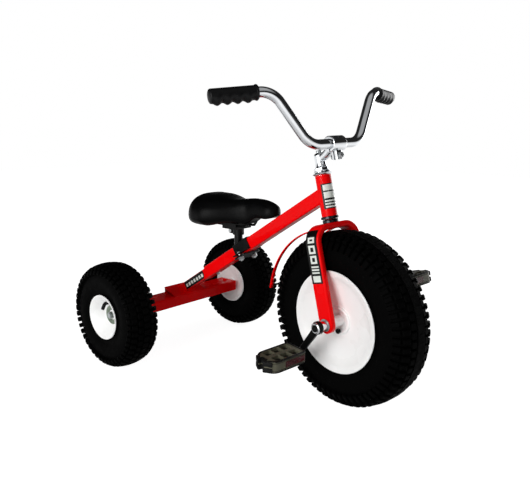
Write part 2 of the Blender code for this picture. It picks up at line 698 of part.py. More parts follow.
def tyre_mesh(radius, carcass, width, bead, half_rim, steps, rows, clock):
    """A knobby pneumatic tyre: an open casing on its beads, with staggered blocks on the tread.

    The middle of one centre block points at the angle clock, which stands it on the ground.
    """
    mesh = bmesh.new()
    rise = radius - carcass
    half = width / 2 - rise * SHOULDER_LEAN
    height = carcass - bead
    shoulder = carcass - 0.22 * height
    side_r = bead + 0.45 * height
    bead_y = half_rim - 4.5
    parts = [-0.80 + 1.60 * i / rows for i in range(rows + 1)]
    section = [(carcass - TREAD_DROP * abs(part) ** 2.4 * width / FRONT_W, part * half) for part in parts]
    seat = bead + TYRE_SEAT
    section += [(shoulder, half), (side_r, half), (seat, bead_y), (seat, bead_y - BEAD_WIDTH),
                (shoulder, half - TYRE_WALL), (carcass - TYRE_WALL, 0.0),
                (shoulder, -half + TYRE_WALL), (seat, -bead_y + BEAD_WIDTH), (seat, -bead_y),
                (side_r, -half), (shoulder, -half)]
    rings = []
    for i in range(steps):
        angle = clock + TAU * (i - 0.5) / steps
        rings.append([mesh.verts.new((r * math.cos(angle), r * math.sin(angle), y)) for r, y in section])
    count = len(section)
    last = count - 1
    blocks = []
    for i in range(steps):
        here = rings[i]
        after = rings[(i + 1) % steps]
        for k in range(count):
            face = mesh.faces.new((here[k], here[(k + 1) % count], after[(k + 1) % count], after[k]))
            row = k + 1 if k < last else 0
            if row <= rows + 1 and (i + row) % 2 == 0:
                blocks.append(face)
    bmesh.ops.recalc_face_normals(mesh, faces=mesh.faces)
    grown = bmesh.ops.extrude_discrete_faces(mesh, faces=blocks)
    for face in grown["faces"]:
        centre = face.calc_center_median()
        outward = Vector((centre.x, centre.y, 0)).normalized() * rise
        outward.z = rise * SHOULDER_LEAN * centre.z / half
        middle = centre + outward
        for vert in face.verts:
            vert.co = middle + (vert.co - centre) * LUG_TAPER
    flat = max(Vector(face.calc_center_median()[:2]).length for face in grown["faces"])
    for face in grown["faces"]:
        for vert in face.verts:
            vert.co.xy = vert.co.xy * radius / flat
    return mesh


def build_front_wheel(wheel):
    tyre = tyre_mesh(FRONT_R, FRONT_CARCASS_R, FRONT_W, FRONT_BEAD_R, FRONT_RIM_HALF,
                     FRONT_TYRE_STEPS, FRONT_TREAD_ROWS, CRANK_TURN - HEAD_TILT - TAU / 4)
    finish("front_tyre", tyre, tyre_rubber(), wheel, rotation=(math.pi / 2, 0, 0), smooth=30)
    bead = FRONT_BEAD_R
    edge = FRONT_RIM_R
    lip = FRONT_RIM_HALF
    hub = FRONT_HUB_R + GAP
    profile = [(hub, 19.0), (30.0, 22.0), (60.0, 28.0), (bead - 7.0, 35.0), (bead - 7.0, GAP / 2),
               (bead - 4.0, GAP / 2), (bead - 4.0, 18.0), (bead, 23.0), (bead, lip - 4.0),
               (edge, lip), (edge - 1.5, lip + 1.8), (bead - 3.0, lip - 6.0), (62.0, 31.0),
               (31.0, 25.0), (29.0, 28.0), (24.0, 28.5), (hub, 22.0)]
    for side, sign in (("right", -1), ("left", 1)):
        finish("front_rim_" + side, lathe(profile, 28), white_paint(), wheel,
               rotation=(-sign * math.pi / 2, 0, 0))
    inner = AXLE_R + GAP
    shell = [(inner, -FRONT_HUB_HALF), (FRONT_HUB_R, -FRONT_HUB_HALF), (FRONT_HUB_R, FRONT_HUB_HALF),
             (inner, FRONT_HUB_HALF)]
    finish("front_hub", lathe(shell, 18), white_paint(), wheel, rotation=(math.pi / 2, 0, 0))
    bolt = lathe([(0, 0.4), (6.2, 0.4), (6.2, 5.5), (4.6, 7.0), (0, 7.0)], 6)
    angle = HUB_BOLT_TURN - HEAD_TILT - CRANK_TURN
    place = (HUB_BOLT_R * math.cos(angle), -HUB_BOLT_FACE, -HUB_BOLT_R * math.sin(angle))
    finish("hub_drive_bolt", bolt, black_steel(), wheel, place, (math.pi / 2, 0, 0))


def build_cranks(wheel):
    collar = CRANK_Y - CRANK_THICK / 2 - GAP
    stop = LEG_OUTER_Y + GAP + BUSH_FLANGE + GAP
    end = CRANK_Y + CRANK_THICK / 2 + 1.5
    wide = CRANK_COLLAR_R
    profile = [(0, -end), (AXLE_R - 1, -end), (AXLE_R, -end + 1), (AXLE_R, -collar), (wide, -collar),
               (wide, -stop), (AXLE_R, -stop), (AXLE_R, stop), (wide, stop), (wide, collar),
               (AXLE_R, collar), (AXLE_R, end - 1), (AXLE_R - 1, end), (0, end)]
    finish("crank_axle", lathe(profile, 14), zinc(), wheel, rotation=(math.pi / 2, 0, 0))
    for side, sign in (("right", -1), ("left", 1)):
        reach = -sign * CRANK_LENGTH
        turn = 0 if sign < 0 else math.pi
        arm = finish(side + "_crank", extruded(crank_outline(turn), CRANK_THICK, -CRANK_THICK / 2),
                     black_steel(), wheel, (0, sign * CRANK_Y, 0), (math.pi / 2, 0, 0))
        cut(arm, finish(side + "_crank_bore", cylinder(AXLE_R + GAP, -20, 20, 20), None, wheel,
                        (0, sign * CRANK_Y, 0), (math.pi / 2, 0, 0)))
        cut(arm, finish(side + "_spindle_bore", cylinder(SPINDLE_R + SPINDLE_STEP + GAP, -20, 20, 16), None,
                        wheel, (reach, sign * CRANK_Y, 0), (math.pi / 2, 0, 0)))
        neck = CRANK_NUT_R - 4.7
        high = CRANK_NUT_HIGH
        nut = lathe([(0, 0), (CRANK_NUT_R, 0), (CRANK_NUT_R, 1.6), (neck, 1.6), (neck, high - 1.5),
                     (neck - 1.7, high), (0, high)], 12)
        finish(side + "_crank_nut", nut, chrome(), wheel, (0, sign * (end + GAP), 0),
               (-sign * math.pi / 2, 0, 0))


def crank_outline(turn):
    """Two eyes joined by a tapered arm, the long way along X."""
    neck = math.asin(CRANK_NECK_HALF / CRANK_EYE_R)
    tip = TAU / 2 - math.asin(CRANK_TIP_HALF / PEDAL_EYE_R)
    big = arc((0, 0), CRANK_EYE_R, neck, TAU - neck, 12)
    small = arc((CRANK_LENGTH, 0), PEDAL_EYE_R, -tip, tip, 10)
    spin = (math.cos(turn), math.sin(turn))
    return [(x * spin[0] - y * spin[1], x * spin[1] + y * spin[0]) for x, y in big + small]


def build_pedal(side, sign, wheel, tilt):
    level = -CRANK_TURN + HEAD_TILT + tilt
    axis = empty(side + "_pedal_axis", (-sign * CRANK_LENGTH, 0, 0), (0, 0, 0), wheel)
    outward = (-sign * math.pi / 2, 0, 0)
    eye_in = CRANK_Y - CRANK_THICK / 2
    eye_out = CRANK_Y + CRANK_THICK / 2
    end = PEDAL_INNER_Y + PEDAL_LENGTH - 9.0
    thick = SPINDLE_R + SPINDLE_STEP
    flange = eye_out + SPINDLE_FLANGE
    spindle = [(0, eye_in + 0.5), (thick, eye_in + 0.5), (thick, eye_out + GAP),
               (SPINDLE_FLANGE_R, eye_out + GAP), (SPINDLE_FLANGE_R, flange), (thick + 0.5, flange),
               (thick + 0.5, PEDAL_INNER_Y - GAP), (SPINDLE_R, PEDAL_INNER_Y - GAP),
               (SPINDLE_R, end), (0, end)]
    finish(side + "_pedal_spindle", lathe(spindle, 12), zinc(), axis, rotation=outward)
    body = finish(side + "_pedal_body", pedal_block(), pedal_plastic(), axis,
                  (0, sign * PEDAL_INNER_Y, 0), (0, level, 0 if sign > 0 else math.pi))
    body.rotation_mode = "ZYX"
    tools = empty(side + "_pedal_frame", (0, sign * PEDAL_INNER_Y, 0), (0, 0, 0), axis)
    tools.rotation_mode = "ZYX"
    tools.rotation_euler = body.rotation_euler
    cut(body, finish(side + "_spindle_hole", cylinder(SPINDLE_R + GAP, -5, PEDAL_LENGTH - 7.0, 16),
                     None, tools, rotation=(-math.pi / 2, 0, 0)))
    deep = PEDAL_POCKET_DEEP
    inner = PEDAL_WEB_HALF
    outer = PEDAL_DEPTH / 2 - PEDAL_RIM
    for level_name, low in (("top", PEDAL_HEIGHT / 2 - deep), ("under", -PEDAL_HEIGHT / 2 - deep)):
        for place, shift in (("front", 1), ("rear", -1)):
            for number in range(PEDAL_POCKETS):
                y = PEDAL_POCKET_START + number * PEDAL_POCKET_STEP
                pocket = box(min(shift * inner, shift * outer), max(shift * inner, shift * outer),
                             y, y + PEDAL_POCKET, low, low + 2 * deep)
                cut(body, finish("%s_%s_%s_pocket_%d" % (side, level_name, place, number), pocket,
                                 None, tools))
    for place, shift in (("front", 1), ("rear", -1)):
        face = PEDAL_DEPTH / 2
        back = face - REFLECTOR_DEEP
        near = REFLECTOR_START
        far = near + REFLECTOR_LENGTH
        tall = REFLECTOR_HEIGHT / 2
        recess = box(min(shift * back, shift * (face + 3)), max(shift * back, shift * (face + 3)),
                     near, far, -tall, tall)
        cut(body, finish("%s_%s_reflector_recess" % (side, place), recess, None, tools))
        low = back + GAP
        high = face + REFLECTOR_PROUD
        lens = box(min(shift * low, shift * high), max(shift * low, shift * high),
                   near + GAP, far - GAP, -tall + GAP, tall - GAP)
        finish("%s_pedal_%s_reflector" % (side, place), lens, reflector_plastic(), tools)
    return body


def pedal_block():
    """The pedal seen from above: square inside end, bowed outer corners and a notch between."""
    half = PEDAL_DEPTH / 2
    length = PEDAL_LENGTH
    notch = PEDAL_NOTCH_HALF
    deep = length - PEDAL_NOTCH_DEEP
    cant = PEDAL_CHAMFER
    round_y = length - PEDAL_CORNER_IN
    round_x = half - PEDAL_CORNER_R
    outline = [(half - cant, 0), (half, cant), (half, round_y)]
    outline += arc((round_x, round_y), PEDAL_CORNER_R, TAU * 0.03, TAU * 0.19, 4)
    outline += [(notch + 2, length), (notch, deep), (-notch, deep), (-notch - 2, length)]
    outline += arc((-round_x, round_y), PEDAL_CORNER_R, TAU * 0.31, TAU * 0.47, 4)
    outline += [(-half, round_y), (-half, cant), (-half + cant, 0)]
    return extruded(outline, PEDAL_HEIGHT, -PEDAL_HEIGHT / 2)


def build_stem(steering, nut_top):
    """Quill stem: neck, forward arm and a split clamp whose bolt draws its ears together."""
    foot = HEAD_TOP - STEM_FOOT
    neck = [(0, foot), (QUILL_R, foot), (QUILL_R, nut_top + GAP), (NECK_R, nut_top + GAP),
            (NECK_R, NECK_TOP - 3.0), (NECK_R - 3.0, NECK_TOP), (0, NECK_TOP)]
    stem = finish("stem", lathe(neck, 20), chrome(), steering)
    arm_path = [Vector((2.0, 0, NECK_TOP - 14.0)), Vector((STEM_REACH * 0.5, 0, NECK_TOP - 6.0)),
                Vector((STEM_REACH - 8.0, 0, BAR_LOW - 1.0))]
    arm_outline = rounded_box(STEM_ARM_DEEP, STEM_ARM_WIDE, 5.0, 1)
    arm = finish("stem_arm_form", sweep(arm_path, arm_outline, (0, 1, 0)), None, steering)
    join(stem, arm)
    half = CLAMP_LENGTH / 2
    across = (math.pi / 2, 0, 0)
    clamp = finish("stem_clamp_form", cylinder(CLAMP_R, -half, half, 20), None, steering,
                   (STEM_REACH, 0, BAR_LOW), across)
    join(stem, clamp)
    ear = STEM_EAR / 2
    ears = finish("stem_ear_form", box(-ear, ear, -ear - 0.5, ear + 0.5, -PINCH_DROP - 8.0, -8.0), None,
                  steering, (STEM_REACH, 0, BAR_LOW))
    join(stem, ears)
    cut(stem, finish("expander_bore", cylinder(EXPANDER_R + GAP, foot - 5, NECK_TOP + 5, 16), None,
                     steering))
    cut(stem, finish("bar_bore", cylinder(BAR_R + GAP, -half - 5, half + 5, 20), None, steering,
                     (STEM_REACH, 0, BAR_LOW), across))
    slot = box(-STEM_SLOT / 2, STEM_SLOT / 2, -half - 5, half + 5, -PINCH_DROP - 15.0, 0.0)
    cut(stem, finish("stem_slot", slot, None, steering, (STEM_REACH, 0, BAR_LOW)))
    cut(stem, finish("pinch_bore", cylinder(PINCH_BOLT_R + GAP, -20, 20, 12), None, steering,
                     (STEM_REACH, 0, BAR_LOW - PINCH_DROP), (0, math.pi / 2, 0)))
    seat = ear + GAP
    head = PINCH_HEAD_R
    shank = PINCH_BOLT_R
    bolt = lathe([(0, -seat - 5.0), (head, -seat - 5.0), (head, -seat), (shank, -seat), (shank, seat),
                  (head + 1.4, seat), (head + 1.4, seat + 1.5), (head + 0.4, seat + 1.5),
                  (head + 0.4, seat + 6.0), (head - 1.0, seat + 7.0), (0, seat + 7.0)], 12)
    finish("stem_clamp_bolt", bolt, zinc(), steering, (STEM_REACH, 0, BAR_LOW - PINCH_DROP),
           (0, math.pi / 2, 0))
    top = NECK_TOP + GAP
    low = foot - EXPANDER_FOOT
    high = top + EXPANDER_HEAD
    head = EXPANDER_HEAD_R
    long_bolt = lathe([(0, low), (EXPANDER_FOOT_R, low), (EXPANDER_FOOT_R, foot - GAP),
                       (EXPANDER_R, foot - GAP), (EXPANDER_R, top), (head, top), (head, high - 1.5),
                       (head - 1.5, high), (0, high)], 12)
    finish("stem_expander_bolt", long_bolt, zinc(), steering)
    return stem


def bar_corners():
    bend = Vector((STEM_REACH - 2, BAR_TOP_HALF, BAR_TOP))
    end = Vector(GRIP_END)
    end += (bend - end).normalized() * (GRIP_CAP + GAP)
    half = [Vector((STEM_REACH, 0, BAR_LOW)), Vector((STEM_REACH, BAR_FLAT_HALF, BAR_LOW)), bend, end]
    mirrored = [Vector((p.x, -p.y, p.z)) for p in reversed(half[1:])]
    return mirrored + half[1:]


def build_handlebar(steering):
    path = fillet_path(bar_corners(), BAR_BEND_R, 5)
    curve = bpy.data.curves.new("handlebar", "CURVE")
    curve.dimensions = "3D"
    curve.bevel_depth = BAR_R * MM
    curve.bevel_resolution = 2
    curve.use_fill_caps = True
    curve.twist_mode = "MINIMUM"
    line = curve.splines.new("POLY")
    line.points.add(len(path) - 1)
    for point, place in zip(line.points, path):
        point.co = (*(place * MM), 1.0)
    curve.materials.append(chrome())
    made = bpy.data.objects.new("handlebar", curve)
    bpy.context.collection.objects.link(made)
    made.parent = steering
    return made


def build_grip(side, sign, steering):
    """A rubber grip with four finger ridges below, closed at its outer end."""
    start = Vector((GRIP_START[0], sign * GRIP_START[1], GRIP_START[2]))
    end = Vector((GRIP_END[0], sign * GRIP_END[1], GRIP_END[2]))
    bend = Vector((STEM_REACH - 2, sign * BAR_TOP_HALF, BAR_TOP))
    axis = (end * 1.0 - bend).normalized()
    start = bend + axis * (start - bend).dot(axis)
    length = (end - start).length
    down = Vector((0, 0, -1))
    down = (down - axis * down.dot(axis)).normalized()
    across = axis.cross(down)
    mesh = bmesh.new()
    count = 10
    stations = 16
    rings = []
    for i in range(stations + 1):
        t = i / stations
        wave = 0.5 - 0.5 * math.cos(TAU * 4.0 * min(max((t - 0.10) / 0.86, 0.0), 1.0))
        radius = GRIP_R + (2.5 if t < 0.04 else 0.0)
        if t > 0.985:
            radius = GRIP_R - 3.0
        ring = []
        for k in range(count):
            angle = TAU * k / count
            lobe = max(0.0, math.cos(angle)) ** 2
            reach = radius + (GRIP_FINGER * wave * lobe if t < 0.985 else 0.0)
            around = down * math.cos(angle) + across * math.sin(angle)
            ring.append(mesh.verts.new(start + axis * (t * length) + around * reach))
        rings.append(ring)
    bore = BAR_R + GAP
    inside = []
    for depth in (length - GRIP_CAP, 0.0):
        inside.append([mesh.verts.new(start + axis * depth + (down * math.cos(TAU * k / count)
                                      + across * math.sin(TAU * k / count)) * bore / math.cos(math.pi / 10))
                       for k in range(count)])
    for low, high in zip(rings, rings[1:]):
        for k in range(count):
            j = (k + 1) % count
            mesh.faces.new((low[k], low[j], high[j], high[k]))
    mesh.faces.new(rings[-1])
    for k in range(count):
        j = (k + 1) % count
        mesh.faces.new((rings[0][j], rings[0][k], inside[1][k], inside[1][j]))
        mesh.faces.new((inside[1][j], inside[1][k], inside[0][k], inside[0][j]))
    mesh.faces.new(inside[0])
    return finish(side + "_grip", mesh, grip_rubber(), steering, smooth=50)


def build_rear_wheel(side, sign, axle):
    outward = (-sign * math.pi / 2, 0, 0)
    tyre = tyre_mesh(REAR_R, REAR_CARCASS_R, REAR_W, REAR_BEAD_R, REAR_RIM_HALF,
                     REAR_TYRE_STEPS, REAR_TREAD_ROWS, 0.0)
    finish(side + "_rear_tyre", tyre, tyre_rubber(), axle, rotation=outward, smooth=30)
    bead = REAR_BEAD_R
    edge = REAR_RIM_R
    lip = REAR_RIM_HALF
    hub = REAR_HUB_R
    bore = REAR_AXLE_R + GAP
    inner = -REAR_HUB_INNER
    outer = REAR_HUB_OUTER
    profile = [(bore, inner), (hub, inner), (hub, -lip + 9.0), (bead - 5.0, -lip + 2.0),
               (edge, -lip - 1.0), (bead, -lip + 4.0), (bead, -15.0), (bead - 5.0, -11.0),
               (bead - 5.0, 11.0), (bead, 15.0), (bead, lip - 4.0), (edge, lip), (bead - 1.0, lip - 3.0),
               (34.0, lip - 11.0), (25.0, 13.0), (hub, 5.0), (hub, outer), (bore, outer)]
    rim = finish(side + "_rear_rim", lathe(profile, 24), white_paint(), axle, rotation=outward)
    seat = REAR_VALVE_SEAT_R
    stem_path = fillet_path([(-seat, 0, 6.0), (-seat, 0, 31.0), (-seat - 15.0, 0, 38.0)], 6.0, 4)
    hole = finish(side + "_valve_hole", cylinder(VALVE_R + GAP, 3.0, 40.0, 12), None, axle,
                  rotation=outward)
    hole.data.transform(Matrix.Translation((-seat * MM, 0, 0)))
    cut(rim, hole)
    valve = sweep(stem_path, circle(VALVE_R, 10), (0, 1, 0))
    finish(side + "_rear_valve_stem", valve, grip_rubber(), axle, rotation=outward)
    build_nut(side + "_rear_axle_nut", 9.6, bore, 0.0, 8.0, axle, (0, sign * (outer + GAP), 0), outward)


def build_seat(slide):
    """Bracket round the tube, post, rail clamp, rails and saddle, all moved by the seat slide."""
    half = SEAT_BRACKET_LENGTH / 2
    inner = TUBE_SIZE / 2 + GAP
    outer = inner + SEAT_SHEET
    foot = -TUBE_SIZE / 2 + 4.0
    ear = SEAT_BOLT_Y + 6.5
    outline = [(-ear, foot), (-ear, foot + SEAT_SHEET), (-outer, foot + SEAT_SHEET),
               (-outer, outer - 3), (-outer + 3, outer), (outer - 3, outer), (outer, outer - 3),
               (outer, foot + SEAT_SHEET), (ear, foot + SEAT_SHEET), (ear, foot), (inner, foot),
               (inner, inner), (-inner, inner), (-inner, foot)]
    turned = (math.pi / 2, 0.0, math.pi / 2)
    bracket = finish("seat_bracket", extruded(outline, 2 * half, -half), black_steel(), slide,
                     rotation=turned)
    height = POST_TOP - tube_point(SEAT_S + POST_X, POST_RISE)[2]
    post = finish("seat_post_form", cylinder(POST_R, -2.0, height, 20), None, slide,
                  (POST_X, 0, POST_RISE), (0, TUBE_SLOPE, 0))
    join(bracket, post)
    trim = finish("post_foot_trim", box(-40, 40, -inner, inner, -inner, inner), None, slide)
    cut(bracket, trim)
    for name, sign in (("right", -1), ("left", 1)):
        cut(bracket, finish("seat_bolt_hole_" + name, cylinder(SEAT_BOLT_R + GAP, -40, 40, 12), None,
                            slide, (SEAT_BOLT_S, sign * SEAT_BOLT_Y, 0)))
    plate_top = -TUBE_SIZE / 2 - GAP
    plate = finish("seat_lower_plate", extruded(rounded_box(40.0, 2 * ear, 5.0, 2), 4.0,
                                                plate_top - 4.0), black_steel(), slide,
                   (SEAT_BOLT_S, 0, 0))
    for name, sign in (("right", -1), ("left", 1)):
        cut(plate, finish("plate_bolt_hole_" + name, cylinder(SEAT_BOLT_R + GAP, -40, 40, 12), None,
                          slide, (SEAT_BOLT_S, sign * SEAT_BOLT_Y, 0)))
        head = foot + SEAT_SHEET + GAP
        low = plate_top - 4.0 - GAP - 7.0
        bolt = lathe([(0, low - 3.0), (SEAT_BOLT_R, low - 3.0), (SEAT_BOLT_R, head), (5.2, head),
                      (4.6, head + 3.0), (0, head + 4.0)], 12)
        finish("seat_bolt_" + name, bolt, zinc(), slide, (SEAT_BOLT_S, sign * SEAT_BOLT_Y, 0))
        build_nut("seat_nut_" + name, 7.6, SEAT_BOLT_R + GAP, low, low + 7.0, slide,
                  (SEAT_BOLT_S, sign * SEAT_BOLT_Y, 0))


def build_saddle(level):
    """Saddle, rails and rail clamp, in a level frame under the seat slide."""
    length = SADDLE_LENGTH
    mesh = bmesh.new()
    stations = 20
    count = 16
    rings = []
    for i in range(stations + 1):
        t = 0.5 - 0.5 * math.cos(math.pi * i / stations)
        x = t * length
        rings.append([mesh.verts.new((x + SADDLE_REAR_X, y, z)) for y, z in saddle_ring(t, count)])
    for low, high in zip(rings, rings[1:]):
        for k in range(count):
            j = (k + 1) % count
            mesh.faces.new((low[k], low[j], high[j], high[k]))
    mesh.faces.new(rings[0])
    mesh.faces.new(rings[-1])
    finish("saddle", mesh, saddle_vinyl(), level, smooth=60)


def saddle_half_width(t):
    """Half width of the saddle from rear (0) to nose (1)."""
    rear = math.sqrt(max(0.0, 1.0 - ((0.22 - min(t, 0.22)) / 0.22) ** 2))
    blend = min(max((t - 0.28) / 0.44, 0.0), 1.0)
    blend = blend * blend * (3 - 2 * blend)
    width = SADDLE_HALF + (SADDLE_NOSE_HALF - SADDLE_HALF) * blend
    nose = math.sqrt(max(0.0, 1.0 - (max(t - 0.90, 0.0) / 0.10) ** 2))
    return width * max(rear, 0.30) * max(nose, 0.35)


def saddle_base(t):
    """Height of the underside: level behind, rising under the nose."""
    rise = min(max((t - SADDLE_RISE_START) / SADDLE_RISE_SHARE, 0.0), 1.0)
    return SADDLE_BASE + SADDLE_NOSE_RISE * rise + SADDLE_TIP_RISE * max(0.0, (t - 0.88) / 0.12) ** 2


def saddle_ring(t, count):
    half = saddle_half_width(t)
    dip = SADDLE_MIDDLE_DIP * math.sin(math.pi * min(max((t - 0.25) / 0.5, 0.0), 1.0)) ** 2
    rear_drop = SADDLE_REAR_DROP * max(0.0, 1.0 - t / 0.17) ** 2
    nose_drop = SADDLE_NOSE_DROP * max(0.0, (t - 0.80) / 0.20) ** 2
    top = SADDLE_TOP - dip - rear_drop - nose_drop - SADDLE_FALL * t
    under = min(saddle_base(t), top - 10.0)
    fade = min(max((SADDLE_SKIRT_GONE - t) / (SADDLE_SKIRT_GONE - SADDLE_SKIRT_END), 0.0), 1.0)
    base = under - SADDLE_SKIRT * fade
    hollow = (under - base) * min(t / 0.08, 1.0)
    middle = base + (top - base) * 0.32
    ring = []
    for k in range(count):
        angle = TAU * k / count
        across = math.cos(angle)
        up = math.sin(angle)
        y = half * math.copysign(abs(across) ** 0.75, across)
        if up >= 0:
            z = middle + (top - middle) * up ** 0.85
        else:
            z = middle - (middle - base) * min(abs(up) / 0.7, 1.0) ** 0.6
            y *= 1.0 - SADDLE_TUCK * abs(up)
            if up < -0.8:
                z += hollow
        ring.append((y, z))
    return ring


def build_rails(level):
    rear = SADDLE_REAR_X + RAIL_REAR
    nose = SADDLE_REAR_X + RAIL_NOSE
    under = RAIL_R + GAP
    slope = math.atan2(SADDLE_NOSE_RISE, SADDLE_RISE_SHARE * SADDLE_LENGTH)
    nose_z = saddle_base(RAIL_NOSE / SADDLE_LENGTH) - under / math.cos(slope)
    corners = [(rear, RAIL_REAR_Y, SADDLE_BASE - under), (rear + RAIL_REAR_RUN, RAIL_Y, RAIL_Z),
               (nose - RAIL_NOSE_RUN, RAIL_Y, RAIL_Z), (nose, RAIL_NOSE_Y, nose_z)]
    path = fillet_path(corners, RAIL_BEND_R, 3)
    loop = path + [Vector((p.x, -p.y, p.z)) for p in reversed(path)]
    curve = bpy.data.curves.new("saddle_rails", "CURVE")
    curve.dimensions = "3D"
    curve.bevel_depth = RAIL_R * MM
    curve.bevel_resolution = 1
    curve.twist_mode = "MINIMUM"
    line = curve.splines.new("POLY")
    line.use_cyclic_u = True
    line.points.add(len(loop) - 1)
    for point, place in zip(line.points, loop):
        point.co = (*(place * MM), 1.0)
    curve.materials.append(black_steel())
    made = bpy.data.objects.new("saddle_rails", curve)
    bpy.context.collection.objects.link(made)
    made.parent = level
    return made


def build_saddle_clamp(level):
    """Block that holds both rails, over a split collar round the post."""
    foot = tube_point(SEAT_S + POST_X, POST_RISE)[0] + ORIGIN_X
    low = POST_TOP + GAP
    clamp = finish("saddle_clamp", box(foot - 30.0, foot + 18.0, -RAIL_Y - 8.0, RAIL_Y + 8.0, low,
                                       RAIL_Z + CLAMP_OVER_RAIL), black_steel(), level)
    collar = finish("post_collar_form", cylinder(POST_R + 4.0, POST_TOP - 16.0, low + 2.0, 20), None,
                    level, (foot, 0, 0))
    join(clamp, collar)
    ears = finish("post_ear_form", box(foot - 26.0, foot - POST_R - 1.0, -7.0, 7.0, POST_TOP - 15.0,
                                       low + 1.0), None, level)
    join(clamp, ears)
    cut(clamp, finish("post_bore", cylinder(POST_R + GAP, POST_TOP - 30.0, POST_TOP + GAP, 20), None,
                      level, (foot, 0, 0)))
    cut(clamp, finish("ear_slot", box(foot - 35.0, foot, -1.0, 1.0, POST_TOP - 20.0, POST_TOP - 1.0),
                      None, level))
    for name, sign in (("right", -1), ("left", 1)):
        cut(clamp, finish("rail_bore_" + name, cylinder(RAIL_R + GAP, -60, 60, 12), None, level,
                          (foot, sign * RAIL_Y, RAIL_Z), (0, math.pi / 2, 0)))
    place = (foot - 20.0, 0, POST_TOP - 8.0)
    cut(clamp, finish("clamp_bolt_bore", cylinder(2.5 + GAP, -20, 20, 12), None, level, place,
                      (math.pi / 2, 0, 0)))
    seat = 7.0 + GAP
    bolt = lathe([(0, -seat - 4.5), (5.0, -seat - 4.5), (5.0, -seat), (2.5, -seat), (2.5, seat),
                  (5.0, seat), (5.0, seat + 4.5), (0, seat + 4.5)], 8)
    finish("saddle_clamp_bolt", bolt, zinc(), level, place, (math.pi / 2, 0, 0))


def main():
    remove_everything()
    build_main_frame()
    build_frame_bolt()
    build_rear_frame()
    build_rear_axle()
    head = empty("head_axis", (WHEELBASE - ORIGIN_X, 0, FRONT_R), (0, -HEAD_TILT, 0))
    steering = empty("steering_axis", (0, 0, 0), (0, 0, -STEER), head)
    nut_top = build_headset(steering)
    build_fork(steering, nut_top - 1.0)
    build_guard(steering)
    build_stem(steering, nut_top)
    build_handlebar(steering)
    build_grip("right", -1, steering)
    build_grip("left", 1, steering)
    wheel = empty("front_wheel_axis", (0, 0, 0), (0, CRANK_TURN, 0), steering)
    build_front_wheel(wheel)
    build_cranks(wheel)
    build_pedal("right", -1, wheel, PEDAL_TILT_RIGHT)
    build_pedal("left", 1, wheel, PEDAL_TILT_LEFT)
    for side, sign in (("right", -1), ("left", 1)):
        axle = empty(side + "_rear_wheel_axis", (-ORIGIN_X, sign * TRACK / 2, REAR_R), (0, TAU / 4, 0))
        build_rear_wheel(side, sign, axle)
    place = tube_point(SEAT_S)
    slide = empty("seat_slide", place)
    build_seat(empty("seat_tilt", (0, 0, 0), (0, -TUBE_SLOPE, 0), slide))
    level = empty("saddle_level", (-ORIGIN_X - place[0], 0, -place[2]), (0, 0, 0), slide)
    build_saddle(level)
    build_rails(level)
    build_saddle_clamp(level)


main()
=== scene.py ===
"""Finish and detail for the child's tricycle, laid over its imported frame.

Places are in metres in the row frame, and sizes of pieces are in millimetres in the local
frame of what carries them: the fork, a wheel, the frame tube or a pedal.
"""

import json
import math

import bmesh
import bpy
from bpy.props import FloatProperty, FloatVectorProperty, IntProperty, PointerProperty
from mathutils import Matrix, Vector


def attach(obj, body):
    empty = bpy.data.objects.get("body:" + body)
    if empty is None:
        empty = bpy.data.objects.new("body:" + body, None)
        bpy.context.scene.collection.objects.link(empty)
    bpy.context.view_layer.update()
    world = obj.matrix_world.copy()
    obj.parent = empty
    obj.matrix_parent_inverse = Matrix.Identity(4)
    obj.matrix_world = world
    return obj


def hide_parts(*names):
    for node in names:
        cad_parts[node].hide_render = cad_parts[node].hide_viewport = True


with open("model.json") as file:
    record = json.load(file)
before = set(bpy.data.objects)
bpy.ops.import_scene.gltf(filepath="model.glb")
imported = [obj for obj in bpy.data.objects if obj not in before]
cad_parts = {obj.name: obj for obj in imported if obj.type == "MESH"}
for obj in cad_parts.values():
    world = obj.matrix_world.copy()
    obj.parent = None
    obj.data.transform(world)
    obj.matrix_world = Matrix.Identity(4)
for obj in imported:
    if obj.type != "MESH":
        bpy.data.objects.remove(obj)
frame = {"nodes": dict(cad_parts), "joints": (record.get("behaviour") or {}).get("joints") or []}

bl_info = {
    "name": "Tricycle detail",
    "version": (1, 0, 0),
    "blender": (4, 5, 0),
    "location": "View3D > Sidebar > Tricycle",
    "description": "Models the visible detail of a child's tricycle over its packed frame",
    "category": "Add Mesh",
}

MM = 0.001
TAU = 2.0 * math.pi
SIDES = (("right", -1), ("left", 1))
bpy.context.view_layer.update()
JOINTS = {joint["name"]: joint for joint in frame["joints"]}


def local_frame(origin, along, across):
    """A frame with its X along, its Y across and its Z square to both."""
    x = Vector(along).normalized()
    y = Vector(across).normalized()
    turn = Matrix((x, y, x.cross(y))).transposed().to_quaternion()
    return Matrix.LocRotScale(Vector(origin), turn, None)


# Frames of the moving parts, from the joints
AXLE = Vector(JOINTS["front_wheel_spin"]["axis"]).normalized()
STEERING = Vector(JOINTS["steering"]["axis"]).normalized()
FORK = local_frame(JOINTS["front_wheel_spin"]["pos_m"], AXLE.cross(STEERING), AXLE)
REAR_RIGHT = Matrix.Translation(JOINTS["right_rear_wheel_spin"]["pos_m"])
REAR_LEFT = Matrix.Translation(JOINTS["left_rear_wheel_spin"]["pos_m"])
REAR_AXLE_X = JOINTS["right_rear_wheel_spin"]["pos_m"][0]
SLOPE = Vector(JOINTS["seat_slide"]["axis"]).normalized()
TUBE_Z = 0.157
TUBE = local_frame((REAR_AXLE_X, 0, TUBE_Z), SLOPE, (0, 1, 0))
HEAD = local_frame(JOINTS["steering"]["pos_m"], Vector((0, 1, 0)).cross(STEERING), (0, 1, 0))
CRANK_LINE = Vector(JOINTS["right_pedal_spin"]["pos_m"]) - Vector(JOINTS["front_wheel_spin"]["pos_m"])

